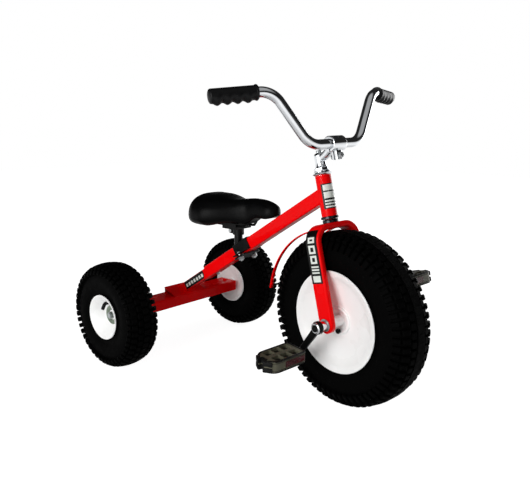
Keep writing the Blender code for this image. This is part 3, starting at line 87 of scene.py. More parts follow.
# Sizes in millimetres, as on the frame
FRONT_TYRE_R = 200.0
REAR_TYRE_R = 137.5
LEG_Y = 63.0
LEG_WIDE = 40.0
LEG_THICK = 14.0
CROWN_W = 211.5
SHOULDER_R = 33.0
HEAD_LOW = 233.5
HEAD_TOP = 325.5
HEAD_R = 18.0
TUBE_SIZE = 32.0
TUBE_START = 107.0
TUBE_JOIN = 283.7
STUB_SIZE = 25.4
CUP_AND_BALLS = 7.3
CONE_LOW = HEAD_TOP + CUP_AND_BALLS
NUT_LOW = CONE_LOW + 3.3
NUT_TALL = 6.5
GUARD_R = 207.5
GUARD_Y = 49.5
GUARD_WIDE = 9.0
GUARD_START = 5.65
GUARD_END = 66.0
BAR_R = 11.1
BAR_BEND_R = 50.0
BAR_LOW = 386.0
STEM_REACH = 52.0
BAR_BEND = (STEM_REACH - 2, 153.0, 499.0)
BAR_END = (5.0, 278.0, 500.0)
GRIP_START = (40.0, 183.0, 504.0)
GRIP_R = 14.6
CRANK_Y = 93.0
CRANK_LONG = 86.0
CRANK_EYE_R = 14.5
CRANK_TIP_R = 9.5
CRANK_THICK = 9.0
PEDAL_INNER_Y = 108.0
PEDAL_LONG = 104.0
PEDAL_DEEP = 62.0
PEDAL_TALL = 26.0
POCKET = (20.0, 22.0)
POCKET_STEP = 24.5
SADDLE_REAR = 85.5
SADDLE_LONG = 272.5
SADDLE_TOP = 452.0
SADDLE_BASE = 383.0
VALVE_R = 35.0
STRIPE = 3.6
STRIPE_PITCH = 6.6


class TricycleSizes(bpy.types.PropertyGroup):
    front_blocks: IntProperty(name="Front tread blocks", default=64, min=20, max=90,
                              description="Blocks in one row of the front tyre's tread")
    rear_blocks: IntProperty(name="Rear tread blocks", default=46, min=16, max=70,
                             description="Blocks in one row of a rear tyre's tread")
    block_height: FloatProperty(name="Block height", default=0.0072, unit="LENGTH",
                                description="How far a tread block stands off the casing")
    panel_thickness: FloatProperty(name="Panel thickness", default=0.0004, unit="LENGTH",
                                   description="Thickness of the black vinyl panels")


class TricycleColours(bpy.types.PropertyGroup):
    floor: FloatVectorProperty(name="Floor", subtype="COLOR", size=3, default=(0.4, 0.4, 0.4),
                               description="Linear colour of the floor under its own white")


# Materials

def linear(code):
    """Linear RGBA from an sRGB hex colour."""
    values = [int(code[i:i + 2], 16) / 255 for i in (1, 3, 5)]
    return (*[v / 12.92 if v <= 0.04045 else ((v + 0.055) / 1.055) ** 2.4 for v in values], 1.0)


def add_node(tree, kind, settings=None, links=None):
    """One node with its settings; links maps an input to the (node, output) that feeds it."""
    node = tree.nodes.new(kind)
    for key, value in (settings or {}).items():
        if key in node.inputs:
            node.inputs[key].default_value = value
        else:
            setattr(node, key, value)
    for key, (source, output) in (links or {}).items():
        tree.links.new(source.outputs[output], node.inputs[key])
    return node


def ramp(tree, value, start, end, low, high, kind="LINEAR"):
    """A value carried from one range to another and held at both ends."""
    return add_node(tree, "ShaderNodeMapRange",
                    {"interpolation_type": kind, "From Min": start, "From Max": end,
                     "To Min": low, "To Max": high}, {"Value": value}), "Result"


# Each finish has its darker and lighter colour, its roughness and how far that varies, the
# grains of its pattern in a metre (900 makes them 1.1 mm), their depth in millimetres and how
# strongly they show. Broad patches of colour and haze are 14 times as wide as a grain.
FINISHES = {
    # Sprayed gloss enamel over steel: deep red, a clear top layer and faint orange peel
    "red_enamel": ("#F00306", "#FC0409", 0.26, 0.05, 260, 0.4, 0.06, dict(coat=0.04, specular=0.05)),
    # White stove enamel on pressed steel: bright, a little uneven where the sheet is drawn
    "white_enamel": ("#F7F7F5", "#FFFFFF", 0.28, 0.06, 180, 0.5, 0.06, dict(coat=0.15, specular=0.3)),
    # Nickel and chrome plate: a clean mirror with faint polishing haze
    "chrome_plate": ("#D5D8DC", "#E8EAEC", 0.07, 0.03, 500, 0.2, 0.04, dict(metallic=1.0)),
    # Bearing steel on the lower headset cup and crown race, dark as painted shade under the head tube:
    # a dark metal that mirrors softly
    "painted_shade_steel": ("#26272A", "#3A3B3E", 0.22, 0.06, 500, 0.2, 0.08, dict(metallic=1.0)),
    # Bright zinc plate: a dull blue-grey metal, mottled where it was dipped
    "zinc_plate": ("#A2A6A8", "#C2C5C6", 0.34, 0.08, 700, 0.3, 0.15, dict(metallic=1.0)),
    # Zinc on the pressed hub plates: a dull metal, its dark grey-green cast painted shade deep in the
    # wheel's dish
    "hub_zinc_painted_shade": ("#6E7A6C", "#93A08F", 0.42, 0.08, 520, 0.3, 0.2, dict(metallic=1.0)),
    # Moulded tyre rubber: near black and matt, with a dusty bloom and mould grain
    "tyre_rubber": ("#010101", "#060606", 0.6, 0.1, 900, 0.5, 0.3, dict(specular=0.015)),
    # Soft moulded grip rubber: black with a satin skin
    "grip_rubber": ("#050506", "#0B0B0C", 0.44, 0.08, 1100, 0.3, 0.2, dict(specular=0.15)),
    # Grained vinyl skin over moulded foam: leather-like cells about a millimetre across
    "saddle_vinyl": ("#020202", "#060607", 0.38, 0.06, 900, 0.4, 0.2, dict(specular=0.06, cells=True)),
    # Satin black baked paint on small steel parts
    "black_steel": ("#030303", "#080808", 0.36, 0.08, 600, 0.3, 0.12, dict(specular=0.12)),
    # Moulded black rubber on the pedals' treads and ends
    "tread_rubber": ("#050505", "#0C0C0B", 0.5, 0.08, 800, 0.4, 0.25, dict(specular=0.15)),
    # Moulded nylon, grey with an olive cast and flow marks
    "pedal_nylon": ("#4C4B3F", "#65634F", 0.48, 0.08, 500, 0.4, 0.2, {}),
    # The same nylon deep in the pedal's pockets, darkened as painted shade in the pockets
    "pocket_shade_nylon": ("#14130F", "#262520", 0.7, 0.1, 420, 0.6, 0.4, dict(specular=0.15)),
    # Dark red moulded reflector, its prisms as small cells
    "reflector": ("#33070C", "#56101A", 0.18, 0.04, 420, 0.8, 0.5, dict(cells=True)),
    # Printed vinyl film, black ground
    "vinyl_black": ("#030303", "#080808", 0.34, 0.05, 300, 0.2, 0.05, dict(specular=0.2)),
    # Printed vinyl film, white ink with a slight green cast
    "vinyl_white": ("#DDE3DA", "#F1F4EE", 0.32, 0.05, 300, 0.2, 0.05, {}),
}
PATCH = 14
MADE = {}


def finish_of(name, low, high, roughness, spread, scale, depth, strength, metallic=0.0, coat=0.0,
              specular=0.5, cells=False):
    """A finish whose colour and roughness vary over the surface, with a fine bump."""
    made = bpy.data.materials.new(name)
    made.use_nodes = True
    tree = made.node_tree
    tree.nodes.clear()
    place = add_node(tree, "ShaderNodeTexCoord")
    broad = add_node(tree, "ShaderNodeTexNoise", {"Scale": scale / PATCH, "Detail": 3.0},
                     {"Vector": (place, "Object")})
    if cells:
        fine = add_node(tree, "ShaderNodeTexVoronoi", {"Scale": scale}, {"Vector": (place, "Object")})
    else:
        fine = add_node(tree, "ShaderNodeTexNoise", {"Scale": scale, "Detail": 4.0},
                        {"Vector": (place, "Object")})
    colour = add_node(tree, "ShaderNodeMix", {"data_type": "RGBA"})
    colour.inputs[6].default_value = linear(low)
    colour.inputs[7].default_value = linear(high)
    tree.links.new(broad.outputs["Fac"], colour.inputs[0])
    gloss = ramp(tree, (broad, "Fac"), 0.3, 0.7, roughness - spread, roughness + spread)
    relief = add_node(tree, "ShaderNodeBump", {"Distance": depth * MM, "Strength": strength},
                      {"Height": (fine, "Distance" if cells else "Fac")})
    shader = add_node(tree, "ShaderNodeBsdfPrincipled",
                      {"Metallic": metallic, "Specular IOR Level": specular, "Coat Weight": coat,
                       "Coat Roughness": 0.06}, {"Roughness": gloss, "Normal": (relief, "Normal")})
    tree.links.new(colour.outputs[2], shader.inputs["Base Color"])
    add_node(tree, "ShaderNodeOutputMaterial", None, {"Surface": (shader, "BSDF")})
    return made


def finish(name):
    if name not in MADE:
        *values, more = FINISHES[name]
        MADE[name] = finish_of(name, *values, **more)
    return MADE[name]


# Modelling

def clear_selection():
    if bpy.context.object and bpy.context.object.mode != "OBJECT":
        bpy.ops.object.mode_set(mode="OBJECT")
    bpy.ops.object.select_all(action="DESELECT")


def pick(made):
    """Select one piece alone."""
    clear_selection()
    bpy.context.view_layer.objects.active = made
    made.select_set(True)


def shift(x, y, z):
    """A move given in millimetres."""
    return Matrix.Translation(Vector((x, y, z)) * MM)


def ring(name, outline, plane="XZ", filled=False):
    """A closed outline, begun as a circle with one corner for each of its points."""
    clear_selection()
    fill = "NGON" if filled else "NOTHING"
    bpy.ops.mesh.primitive_circle_add(vertices=len(outline), fill_type=fill)
    made = bpy.context.object
    made.name = name
    for corner, (a, b) in zip(made.data.vertices, outline):
        places = {"XZ": (a, 0, b), "XY": (a, b, 0), "YZ": (0, a, b)}
        corner.co = Vector(places[plane]) * MM
    return made


def apply_modifier(made, kind, **settings):
    pick(made)
    step = made.modifiers.new(kind.title(), kind)
    for key, value in settings.items():
        setattr(step, key, value)
    bpy.ops.object.modifier_apply(modifier=step.name)
    return made


def tidy(made, smooth=35.0, merge=0.00001):
    """Merge doubles, face outwards and smooth by angle."""
    pick(made)
    bpy.ops.object.mode_set(mode="EDIT")
    bpy.ops.mesh.select_all(action="SELECT")
    bpy.ops.mesh.remove_doubles(threshold=merge)
    bpy.ops.mesh.dissolve_degenerate(threshold=merge)
    bpy.ops.mesh.normals_make_consistent(inside=False)
    bpy.ops.object.mode_set(mode="OBJECT")
    bpy.ops.object.shade_smooth_by_angle(angle=math.radians(smooth))
    return made


def bevel_edges(made, width, segments=2, angle=40.0, smooth=35.0):
    apply_modifier(made, "BEVEL", width=width * MM, segments=segments, limit_method="ANGLE",
                   angle_limit=math.radians(angle), use_clamp_overlap=True)
    return tidy(made, smooth)


def revolve(name, outline, axis="Y", steps=64, smooth=35.0):
    """Turn an outline of (radius, distance along the axis) points all the way round."""
    made = ring(name, outline, "XY" if axis == "Y" else "XZ")
    apply_modifier(made, "SCREW", axis=axis, angle=TAU, screw_offset=0.0, steps=steps,
                   render_steps=steps, use_merge_vertices=True, merge_threshold=0.00001)
    return tidy(made, smooth)


def turned(name, outline, sign, steps, smooth=35.0):
    """A piece turned about the axle for one side; its outline is for the left."""
    return revolve(name, [(r, sign * y) for r, y in outline], "Y", steps, smooth)


def rod(name, radius, low, high, axis="Y", steps=32):
    """A plain round rod, to fuse to a piece or to cut a bore with."""
    return revolve(name, [(0.0, low), (radius, low), (radius, high), (0.0, high)], axis, steps)


def extrude(name, outline, plane, depth, start=0.0, bevel=0.0, segments=2):
    """A plate or bar: an outline filled and drawn out square to its plane."""
    made = ring(name, outline, plane, filled=True)
    way = {"XZ": Vector((0, 1, 0)), "XY": Vector((0, 0, 1)), "YZ": Vector((1, 0, 0))}[plane]
    pick(made)
    bpy.ops.object.mode_set(mode="EDIT")
    bpy.ops.mesh.select_all(action="SELECT")
    bpy.ops.transform.translate(value=way * start * MM)
    bpy.ops.mesh.extrude_region_move(TRANSFORM_OT_translate={"value": way * depth * MM})
    bpy.ops.object.mode_set(mode="OBJECT")
    tidy(made)
    return bevel_edges(made, bevel, segments) if bevel else made


def loft(name, rings, closed=False, smooth=50.0):
    """A skin over rings with the same number of points, which no screen-free operator gives."""
    mesh = bmesh.new()
    rows = [[mesh.verts.new(Vector(point) * MM) for point in one] for one in rings]
    count = len(rows[0])
    for low, high in list(zip(rows, rows[1:])) + ([(rows[-1], rows[0])] if closed else []):
        for i in range(count):
            j = (i + 1) % count
            mesh.faces.new((low[i], low[j], high[j], high[i]))
    if not closed:
        mesh.faces.new(rows[0])
        mesh.faces.new(rows[-1])
    data = bpy.data.meshes.new(name)
    mesh.to_mesh(data)
    mesh.free()
    made = bpy.data.objects.new(name, data)
    bpy.context.collection.objects.link(made)
    return tidy(made, smooth, 0.000001)


def arc(centre, radius, start, end, steps):
    """Points on an arc in degrees, both ends included."""
    turns = [math.radians(start + (end - start) * i / steps) for i in range(steps + 1)]
    return [(centre[0] + radius * math.cos(t), centre[1] + radius * math.sin(t)) for t in turns]


def rounded_box(width, height, radius, steps=4):
    outline = []
    for i, (sx, sy) in enumerate(((1, 1), (-1, 1), (-1, -1), (1, -1))):
        centre = (sx * (width / 2 - radius), sy * (height / 2 - radius))
        outline += arc(centre, radius, i * 90, i * 90 + 90, steps)
    return outline


def rounded_path(points, radius, steps):
    """A path through the points with its corners rounded."""
    path = [Vector(points[0])]
    for before, corner, after in zip(points, points[1:], points[2:]):
        corner = Vector(corner)
        into = (Vector(before) - corner).normalized()
        out = (Vector(after) - corner).normalized()
        half = into.angle(out) / 2
        reach = radius / math.tan(half)
        centre = corner + (into + out).normalized() * radius / math.sin(half)
        first = corner + into * reach - centre
        swing = first.cross(corner + out * reach - centre).normalized()
        for i in range(steps + 1):
            turn = (math.pi - 2 * half) * i / steps
            path.append(centre + Matrix.Rotation(turn, 3, swing) @ first)
    path.append(Vector(points[-1]))
    return path


def sweep(name, path, outline, side, widths=None, closed=False, smooth=50.0):
    """Carry an outline along a flat path; its first axis stays in the path's plane."""
    side = Vector(side)
    rings = []
    for i, point in enumerate(path):
        before = path[i - 1] if i or closed else path[0]
        after = path[(i + 1) % len(path)] if i < len(path) - 1 or closed else path[-1]
        normal = side.cross((after - before).normalized()).normalized()
        width = widths[i] if widths else 1.0
        rings.append([point + normal * a + side * b * width for a, b in outline])
    return loft(name, rings, closed, smooth)


def pipe(name, path, radius, resolution=6):
    """A round bar along a path, drawn as a curve and made a mesh."""
    clear_selection()
    bpy.ops.curve.primitive_nurbs_path_add()
    made = bpy.context.object
    made.name = name
    curve = made.data
    curve.splines.clear()
    line = curve.splines.new("POLY")
    line.points.add(len(path) - 1)
    for point, place in zip(line.points, path):
        point.co = (*(Vector(place) * MM), 1.0)
    line.use_smooth = True
    curve.dimensions = "3D"
    curve.twist_mode = "MINIMUM"
    curve.bevel_depth = radius * MM
    curve.bevel_resolution = resolution
    curve.use_fill_caps = True
    made.location = (0, 0, 0)
    bpy.ops.object.convert(target="MESH")
    return tidy(made, 50.0)


def merge_pieces(name, pieces):
    clear_selection()
    for piece in pieces:
        piece.select_set(True)
    bpy.context.view_layer.objects.active = pieces[0]
    bpy.ops.object.join()
    pieces[0].name = name
    return pieces[0]


def settle(made, place):
    """Put a piece in its place in the row frame, with the place in its mesh."""
    pick(made)
    made.matrix_world = place @ made.matrix_world
    bpy.ops.object.transform_apply(location=True, rotation=True, scale=True)
    return made


def paint(made, name):
    made.data.materials.clear()
    made.data.materials.append(finish(name))
    return made


def mount(made, place, look, body, *nodes, slot=None):
    """Paint a piece, settle it, and let it ride in place of its CAD nodes."""
    if look:
        paint(made, look)
    settle(made, place)
    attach(made, body)
    if nodes:
        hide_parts(*nodes)
    return made


def combine(made, tool, operation):
    apply_modifier(made, "BOOLEAN", object=tool, operation=operation, solver="EXACT")
    bpy.data.objects.remove(tool, do_unlink=True)
    return tidy(made)


def carve(made, tool):
    return combine(made, tool, "DIFFERENCE")


def fuse(made, tool):
    return combine(made, tool, "UNION")


def block_row(name, count, place, size, lean, offset, chamfer=1.6):
    """One row of tread blocks: a block shaped once, then spun round the axle."""
    radius, y = place
    size = (size[0] - chamfer, size[1], size[2])
    lean = math.radians(lean)
    clear_selection()
    bpy.ops.mesh.primitive_cube_add(size=1.0, location=(radius * MM, y * MM, 0),
                                    rotation=(0, 0, lean), scale=[s * MM for s in size])
    made = bpy.context.object
    made.name = name
    bpy.ops.object.transform_apply(location=True, rotation=True, scale=True)
    outward = Vector((math.cos(lean), math.sin(lean), 0))
    for face in made.data.polygons:
        face.select = face.normal.dot(outward) > 0.9
    bpy.ops.object.mode_set(mode="EDIT")
    bpy.ops.mesh.select_mode(type="FACE")
    bpy.ops.mesh.inset(thickness=chamfer * MM, depth=chamfer * MM)
    bpy.ops.mesh.select_all(action="SELECT")
    bpy.ops.transform.rotate(value=TAU * offset / count, orient_axis="Y", center_override=(0, 0, 0))
    bpy.ops.mesh.spin(steps=count - 1, dupli=True, angle=TAU * (count - 1) / count,
                      center=(0, 0, 0), axis=(0, 1, 0))
    bpy.ops.object.mode_set(mode="OBJECT")
    return made


def tyre_piece(name, outer, half, bead, rim_half, count, height):
    """A knobby tyre about local Y: a rounded casing and seven rows of blocks."""
    casing_r = outer - height
    middle = (casing_r + bead) / 2 + 1.0
    tall = casing_r - middle
    outline = []
    for i in range(33):
        turn = math.radians(-122 + 244 * i / 32)
        c, s = math.cos(turn), math.sin(turn)
        outline.append((middle + tall * math.copysign(abs(c) ** 0.86, c),
                        (half - 1.5) * math.copysign(abs(s) ** 0.80, s)))
    outline += [(bead + 0.8, rim_half - 5.5), (bead + 0.8, -rim_half + 5.5)]
    pieces = [revolve(name, outline, "Y", 96, 60.0)]
    pitch = TAU * outer / count
    size = outer / FRONT_TYRE_R
    deep = height + 3.0
    low = outer - 0.8 - deep / 2
    scale = (half - 1.0) / 46.5
    # Of each row: drop, place across, added depth, width, share of the pitch, lean, offset
    rows = [(0.0, 0.0, 0.0, 19.5, 0.80, 0.0, 0.0)]
    for sign in (1, -1):
        rows += [(1.4, 18.5 * sign, 0.0, 13.5, 0.78, 9.0 * sign, 0.5),
                 (7.4, 33.8 * sign, 4.0, 15.5, 0.60, 30.0 * sign, 0.0),
                 (3.6 + 19.0 * size, 42.0 * sign, 2.0, 18.0 * size, 0.56, 62.0 * sign, 0.0)]
    for i, (drop, y, more, wide, share, lean, offset) in enumerate(rows):
        pieces.append(block_row("%s_row_%d" % (name, i), count, (low - drop, y * scale),
                                (deep + more, wide * scale, pitch * share), lean, offset))
    # The raised line round each sidewall
    r = bead + 0.30 * (casing_r - bead)
    turn = math.acos(max(-1.0, min(1.0, (r - middle) / tall)))
    y = (half - 1.5) * math.sin(turn) ** 0.80
    line = [(r + 0.9 * math.cos(TAU * k / 6), y + 0.9 * math.sin(TAU * k / 6)) for k in range(6)]
    for sign in (1, -1):
        pieces.append(turned("%s_line" % name, line, sign, 96, 60.0))
    return merge_pieces(name, pieces)


class TRICYCLE_OT_tyres(bpy.types.Operator):
    """Model the three knobby tyres"""

    bl_idname = "tricycle.tyres"
    bl_label = "Tyres"

    def execute(self, context):
        sizes = context.scene.tricycle_sizes
        height = sizes.block_height / MM
        front = tyre_piece("front_tyre_tread", FRONT_TYRE_R, 48.5, 101.5, 45.0,
                           sizes.front_blocks, height)
        mount(front, FORK, "tyre_rubber", "front_wheel", "front_tyre")
        for side, place in (("right", REAR_RIGHT), ("left", REAR_LEFT)):
            rear = tyre_piece(side + "_rear_tyre_tread", REAR_TYRE_R, 42.0, 50.8, 38.5,
                              sizes.rear_blocks, height * 0.86)
            mount(rear, place, "tyre_rubber", side + "_rear_wheel", side + "_rear_tyre")
        return {"FINISHED"}


class TRICYCLE_OT_rims(bpy.types.Operator):
    """Model the dished steel rims, the hub plates and the valves"""

    bl_idname = "tricycle.rims"
    bl_label = "Rims"

    def execute(self, context):
        face = [(12.8, 20.0), (30.0, 22.5), (60.0, 28.0), (94.5, 35.0), (94.5, 0.2), (98.0, 0.2),
                (98.0, 18.0), (101.5, 23.0), (101.5, 39.0), (104.0, 41.5), (113.0, 43.6)]
        face += arc((115.6, 45.4), 1.9, -60, 120, 5)
        face += [(106.0, 45.0), (101.0, 42.2), (96.0, 38.6), (84.0, 36.0), (62.0, 31.4), (46.0, 28.2),
                 (36.0, 25.6), (32.4, 25.8)]
        face += arc((28.6, 26.2), 3.6, 20, 160, 6)
        face += [(24.8, 26.6), (22.5, 24.2), (19.0, 22.6), (12.8, 22.2)]
        inner = -45.7
        dish = [(6.3, inner), (12.0, inner), (13.0, inner + 1.0), (13.0, -30.5), (16.0, -29.6),
                (45.0, -34.6), (50.0, -37.6)]
        dish += arc((56.8, -38.6), 1.8, -120, 60, 4)
        dish += [(51.0, -34.0), (50.8, -15.0), (46.0, -11.0), (46.0, 11.0), (50.8, 15.0), (51.0, 34.0)]
        dish += arc((56.8, 38.6), 1.8, -60, 120, 5)
        dish += [(50.0, 36.4), (46.0, 33.6), (38.0, 26.0), (31.0, 17.0), (25.5, 10.8), (20.0, 7.6),
                 (14.5, 6.2), (13.4, 7.2), (13.0, 9.2), (12.2, 10.0), (6.3, 10.0)]
        plate = [(13.6, 10.4), (24.4, 10.4), (24.8, 10.8), (24.6, 11.6), (23.0, 11.8), (22.4, 12.6),
                 (20.8, 12.6), (20.2, 11.8), (18.6, 11.8), (18.0, 12.6), (16.4, 12.6), (15.8, 11.8),
                 (14.0, 11.8), (13.6, 11.4)]
        for side, sign in SIDES:
            rim = turned("front_rim_face_" + side, face, sign, 96, 30.0)
            mount(rim, FORK, "white_enamel", "front_wheel", "front_rim_" + side)
        for (side, sign), place in zip(SIDES, (REAR_RIGHT, REAR_LEFT)):
            wheel = side + "_rear_wheel"
            rim = turned(side + "_rear_rim_face", dish, sign, 72, 30.0)
            hole = rod("valve_hole", 4.6, 3.0, 40.0, steps=16)
            hole.location = (0, 0 if sign > 0 else -43.0 * MM, VALVE_R * MM)
            carve(rim, hole)
            mount(rim, place, "white_enamel", wheel, side + "_rear_rim")
            bend = [(0, sign * 14.0, VALVE_R), (0, sign * 30.5, VALVE_R), (0, sign * 37.6, 21.5)]
            stem = pipe(side + "_valve_boot", rounded_path(bend, 6.5, 6), 4.5, 4)
            cap = revolve("valve_cap", [(0.0, 0.0), (3.9, 0.0), (4.3, 0.6), (4.3, 5.6), (3.7, 6.4),
                                        (0.0, 6.6)], "Z", 16)
            lean = Vector((0, sign * 7.1, -13.5)).to_track_quat("Z", "Y").to_matrix().to_4x4()
            settle(cap, shift(0, sign * 35.2, 26.0) @ lean)
            mount(merge_pieces(side + "_valve_boot", [stem, cap]), place, "grip_rubber", wheel,
                  side + "_rear_valve_stem")
            # Each hub plate's dark grey-green tone is painted shade deep in the dish
            mount(turned(side + "_hub_plate", plate, sign, 48), place, "hub_zinc_painted_shade", wheel)
        return {"FINISHED"}


class TRICYCLE_OT_fork(bpy.types.Operator):
    """Model the pressed fork and its axle bearings"""

    bl_idname = "tricycle.fork"
    bl_label = "Fork"

    def execute(self, context):
        path = rounded_path([(0, -LEG_Y, 0), (0, -LEG_Y, CROWN_W), (0, LEG_Y, CROWN_W), (0, LEG_Y, 0)],
                            SHOULDER_R, 12)
        widths = [1.0] * len(path)
        for i in range(1, 13):
            turn = i / 13 * TAU / 4
            drop = LEG_WIDE / 2 * math.sin(turn)
            path = [Vector((0, -LEG_Y, -drop))] + path + [Vector((0, LEG_Y, -drop))]
            widths = [math.cos(turn)] + widths + [math.cos(turn)]
        fork = sweep("fork_blades", path, rounded_box(LEG_THICK, LEG_WIDE, 4.5), (1, 0, 0), widths)
        steerer = revolve("steerer", [(11.4, CROWN_W + 5.0), (12.7, CROWN_W + 5.0), (12.7, 340.0),
                                      (11.4, 340.0)], "Z", 48)
        weld = revolve("crown_weld", [(12.0, CROWN_W + 6.0)] + arc((12.8, CROWN_W + 6.2), 3.0, 0, 80, 4)
                       + [(12.0, CROWN_W + 9.2)], "Z", 48)
        fork = merge_pieces("fork_blades", [fork, steerer, weld])
        mount(fork, FORK, "red_enamel", "steering", "fork")
        bush = [(8.3, -8.0), (12.3, -8.0), (12.3, 7.3), (13.2, 7.3)] + arc((12.9, 8.9), 1.4, -60, 90, 4)
        bush += [(10.6, 10.3), (10.0, 9.4), (8.3, 9.4)]
        for side, sign in SIDES:
            bearing = turned(side + "_bearing", [(r, LEG_Y + y) for r, y in bush], sign, 48)
            mount(bearing, FORK, "zinc_plate", "steering", side + "_axle_bush")
        return {"FINISHED"}


class TRICYCLE_OT_frame(bpy.types.Operator):
    """Model the welded frame tube and head tube"""

    bl_idname = "tricycle.frame"
    bl_label = "Frame"

    def execute(self, context):
        start = TUBE_START / SLOPE.x
        length = (TUBE.inverted() @ HEAD @ Vector((0, 0, TUBE_JOIN * MM))).x / MM - start
        tube = extrude("frame_tube", rounded_box(TUBE_SIZE, TUBE_SIZE, 4.0), "YZ", length + 12.0,
                       start - 12.0)
        inside = TUBE_SIZE - 6.0
        carve(tube, extrude("tube_hollow", rounded_box(inside, inside, 2.0, 2), "YZ", length - 30.0,
                            start - 20.0))
        settle(tube, TUBE)
        trim = extrude("end_trim", [(-60, -60), (60, -60), (60, 60), (-60, 60)], "YZ", -100.0)
        trim.location = (REAR_AXLE_X + TUBE_START * MM, 0, TUBE_Z + 0.068)
        carve(tube, trim)
        fuse(tube, settle(rod("head_sleeve", HEAD_R, HEAD_LOW, HEAD_TOP, "Z", 64), HEAD))
        carve(tube, settle(rod("head_bore", 16.2, HEAD_LOW - 5, HEAD_TOP + 5, "Z", 64), HEAD))
        bevel_edges(tube, 0.8)
        mount(tube, Matrix.Identity(4), "red_enamel", "frame", "main_frame")
        return {"FINISHED"}


class TRICYCLE_OT_headset(bpy.types.Operator):
    """Model the headset cups, race, cone and lock nut"""

    bl_idname = "tricycle.headset"
    bl_label = "Headset"

    def execute(self, context):
        lip = HEAD_TOP + 0.3
        upper = [(14.5, HEAD_TOP - 12), (15.9, HEAD_TOP - 12), (15.9, lip), (18.6, lip),
                 (19.6, lip + 0.4), (22.6, lip + 2.9), (23.0, lip + 3.8), (22.6, lip + 4.6),
                 (21.8, lip + 4.8), (19.4, lip + 3.1), (15.5, lip + 1.4), (14.5, lip + 1.4)]
        lip = HEAD_LOW - 0.3
        lower = [(14.5, HEAD_LOW + 12), (15.9, HEAD_LOW + 12), (15.9, lip), (19.0, lip),
                 (20.1, lip - 0.8), (20.5, lip - 2.2), (20.5, lip - 5.4), (20.0, lip - 6.0),
                 (19.0, lip - 6.0), (18.8, lip - 2.2), (15.5, lip - 1.4), (14.5, lip - 1.4)]
        low = CROWN_W + LEG_THICK / 2 + 0.3
        top = HEAD_LOW - CUP_AND_BALLS
        race = [(13.0, low), (17.6, low), (18.2, low + 0.6), (18.2, top - 2.2), (16.5, top),
                (13.0, top)]
        low = CONE_LOW
        cone = [(13.0, low - 3.0), (13.6, low - 3.0), (13.9, low), (19.4, low), (20.0, low + 0.6),
                (20.0, low + 2.4), (19.4, low + 3.0), (13.0, low + 3.0)]
        # The lower cup and crown race are dark steel, painted shade under the head tube; the upper cup
        # and cone are chrome
        for name, outline, place, look, body, node in (
            ("upper_cup", upper, HEAD, "chrome_plate", "frame", "upper_headset_cup"),
            ("lower_cup", lower, HEAD, "painted_shade_steel", "frame", "lower_headset_cup"),
            ("crown_race", race, FORK, "painted_shade_steel", "steering", "fork_crown_race"),
            ("top_cone", cone, FORK, "chrome_plate", "steering", "upper_bearing_cone"),
        ):
            mount(revolve(name, outline, "Z", 64), place, look, body, node)
        flats = [(18.6 * math.cos(TAU * i / 8), 18.6 * math.sin(TAU * i / 8)) for i in range(8)]
        nut = extrude("lock_nut", flats, "XY", NUT_TALL, NUT_LOW, 0.7)
        carve(nut, rod("nut_hole", 13.0, NUT_LOW - 2, NUT_LOW + 9, "Z", 48))
        mount(nut, FORK, "chrome_plate", "steering", "headset_lock_nut")
        return {"FINISHED"}


class TRICYCLE_OT_bar(bpy.types.Operator):
    """Model the chrome bar and its stem"""

    bl_idname = "tricycle.bar"
    bl_label = "Bar and stem"

    def execute(self, context):
        bend, end = Vector(BAR_BEND), Vector(BAR_END)
        end += (bend - end).normalized() * 4.3
        half = [Vector((STEM_REACH, 0, BAR_LOW)), Vector((STEM_REACH, 76.0, BAR_LOW)), bend, end]
        corners = [Vector((p.x, -p.y, p.z)) for p in reversed(half[1:])] + half[1:]
        bar = pipe("bar_tube", rounded_path(corners, BAR_BEND_R, 18), BAR_R, 10)
        mount(bar, FORK, "chrome_plate", "steering", "handlebar")
        foot = HEAD_TOP - 62.0
        base = NUT_LOW + NUT_TALL + 0.3
        neck = [(0.0, foot), (11.1, foot), (11.1, base), (13.6, base), (14.2, base + 0.8),
                (13.2, base + 4.0), (12.4, base + 12.0), (12.8, base + 20.0)]
        neck += arc((7.0, 370.0), 6.0, 0, 90, 5) + [(0.0, 376.0)]
        stem = revolve("stem_neck", neck, "Z", 48)
        path = [Vector((x, 0, z)) for x, z in ((1.0, 362.0), (14.0, 365.5), (26.0, 371.0),
                                               (36.0, 378.5), (44.0, 386.0))]
        fuse(stem, sweep("stem_arm", path, rounded_box(18.0, 21.0, 8.0, 5), (0, 1, 0)))
        sleeve = [(0.0, -20.0), (16.2, -20.0)] + arc((16.2, -18.7), 1.3, -90, 0, 3)
        sleeve += arc((16.2, 18.7), 1.3, 0, 90, 3) + [(16.2, 20.0), (0.0, 20.0)]
        ears = rounded_box(17.0, 18.0, 3.0, 3)
        slit = [(-1.5, -30), (1.5, -30), (1.5, 30), (-1.5, 30)]
        for tool, height, work in (
            (revolve("stem_clamp", sleeve, "Y", 48), BAR_LOW, fuse),
            (extrude("stem_ears", ears, "XY", 27.0, BAR_LOW - 35.0), 0, fuse),
            (rod("bar_hole", BAR_R + 0.3, -30.0, 30.0, "Y", 48), BAR_LOW, carve),
            (extrude("stem_slit", slit, "XY", 42.0, BAR_LOW - 42.0), 0, carve),
        ):
            tool.location = (STEM_REACH * MM, 0, height * MM)
            work(stem, tool)
        bevel_edges(stem, 0.6, 2, 50.0, 40.0)
        mount(stem, FORK, "chrome_plate", "steering", "stem")
        return {"FINISHED"}


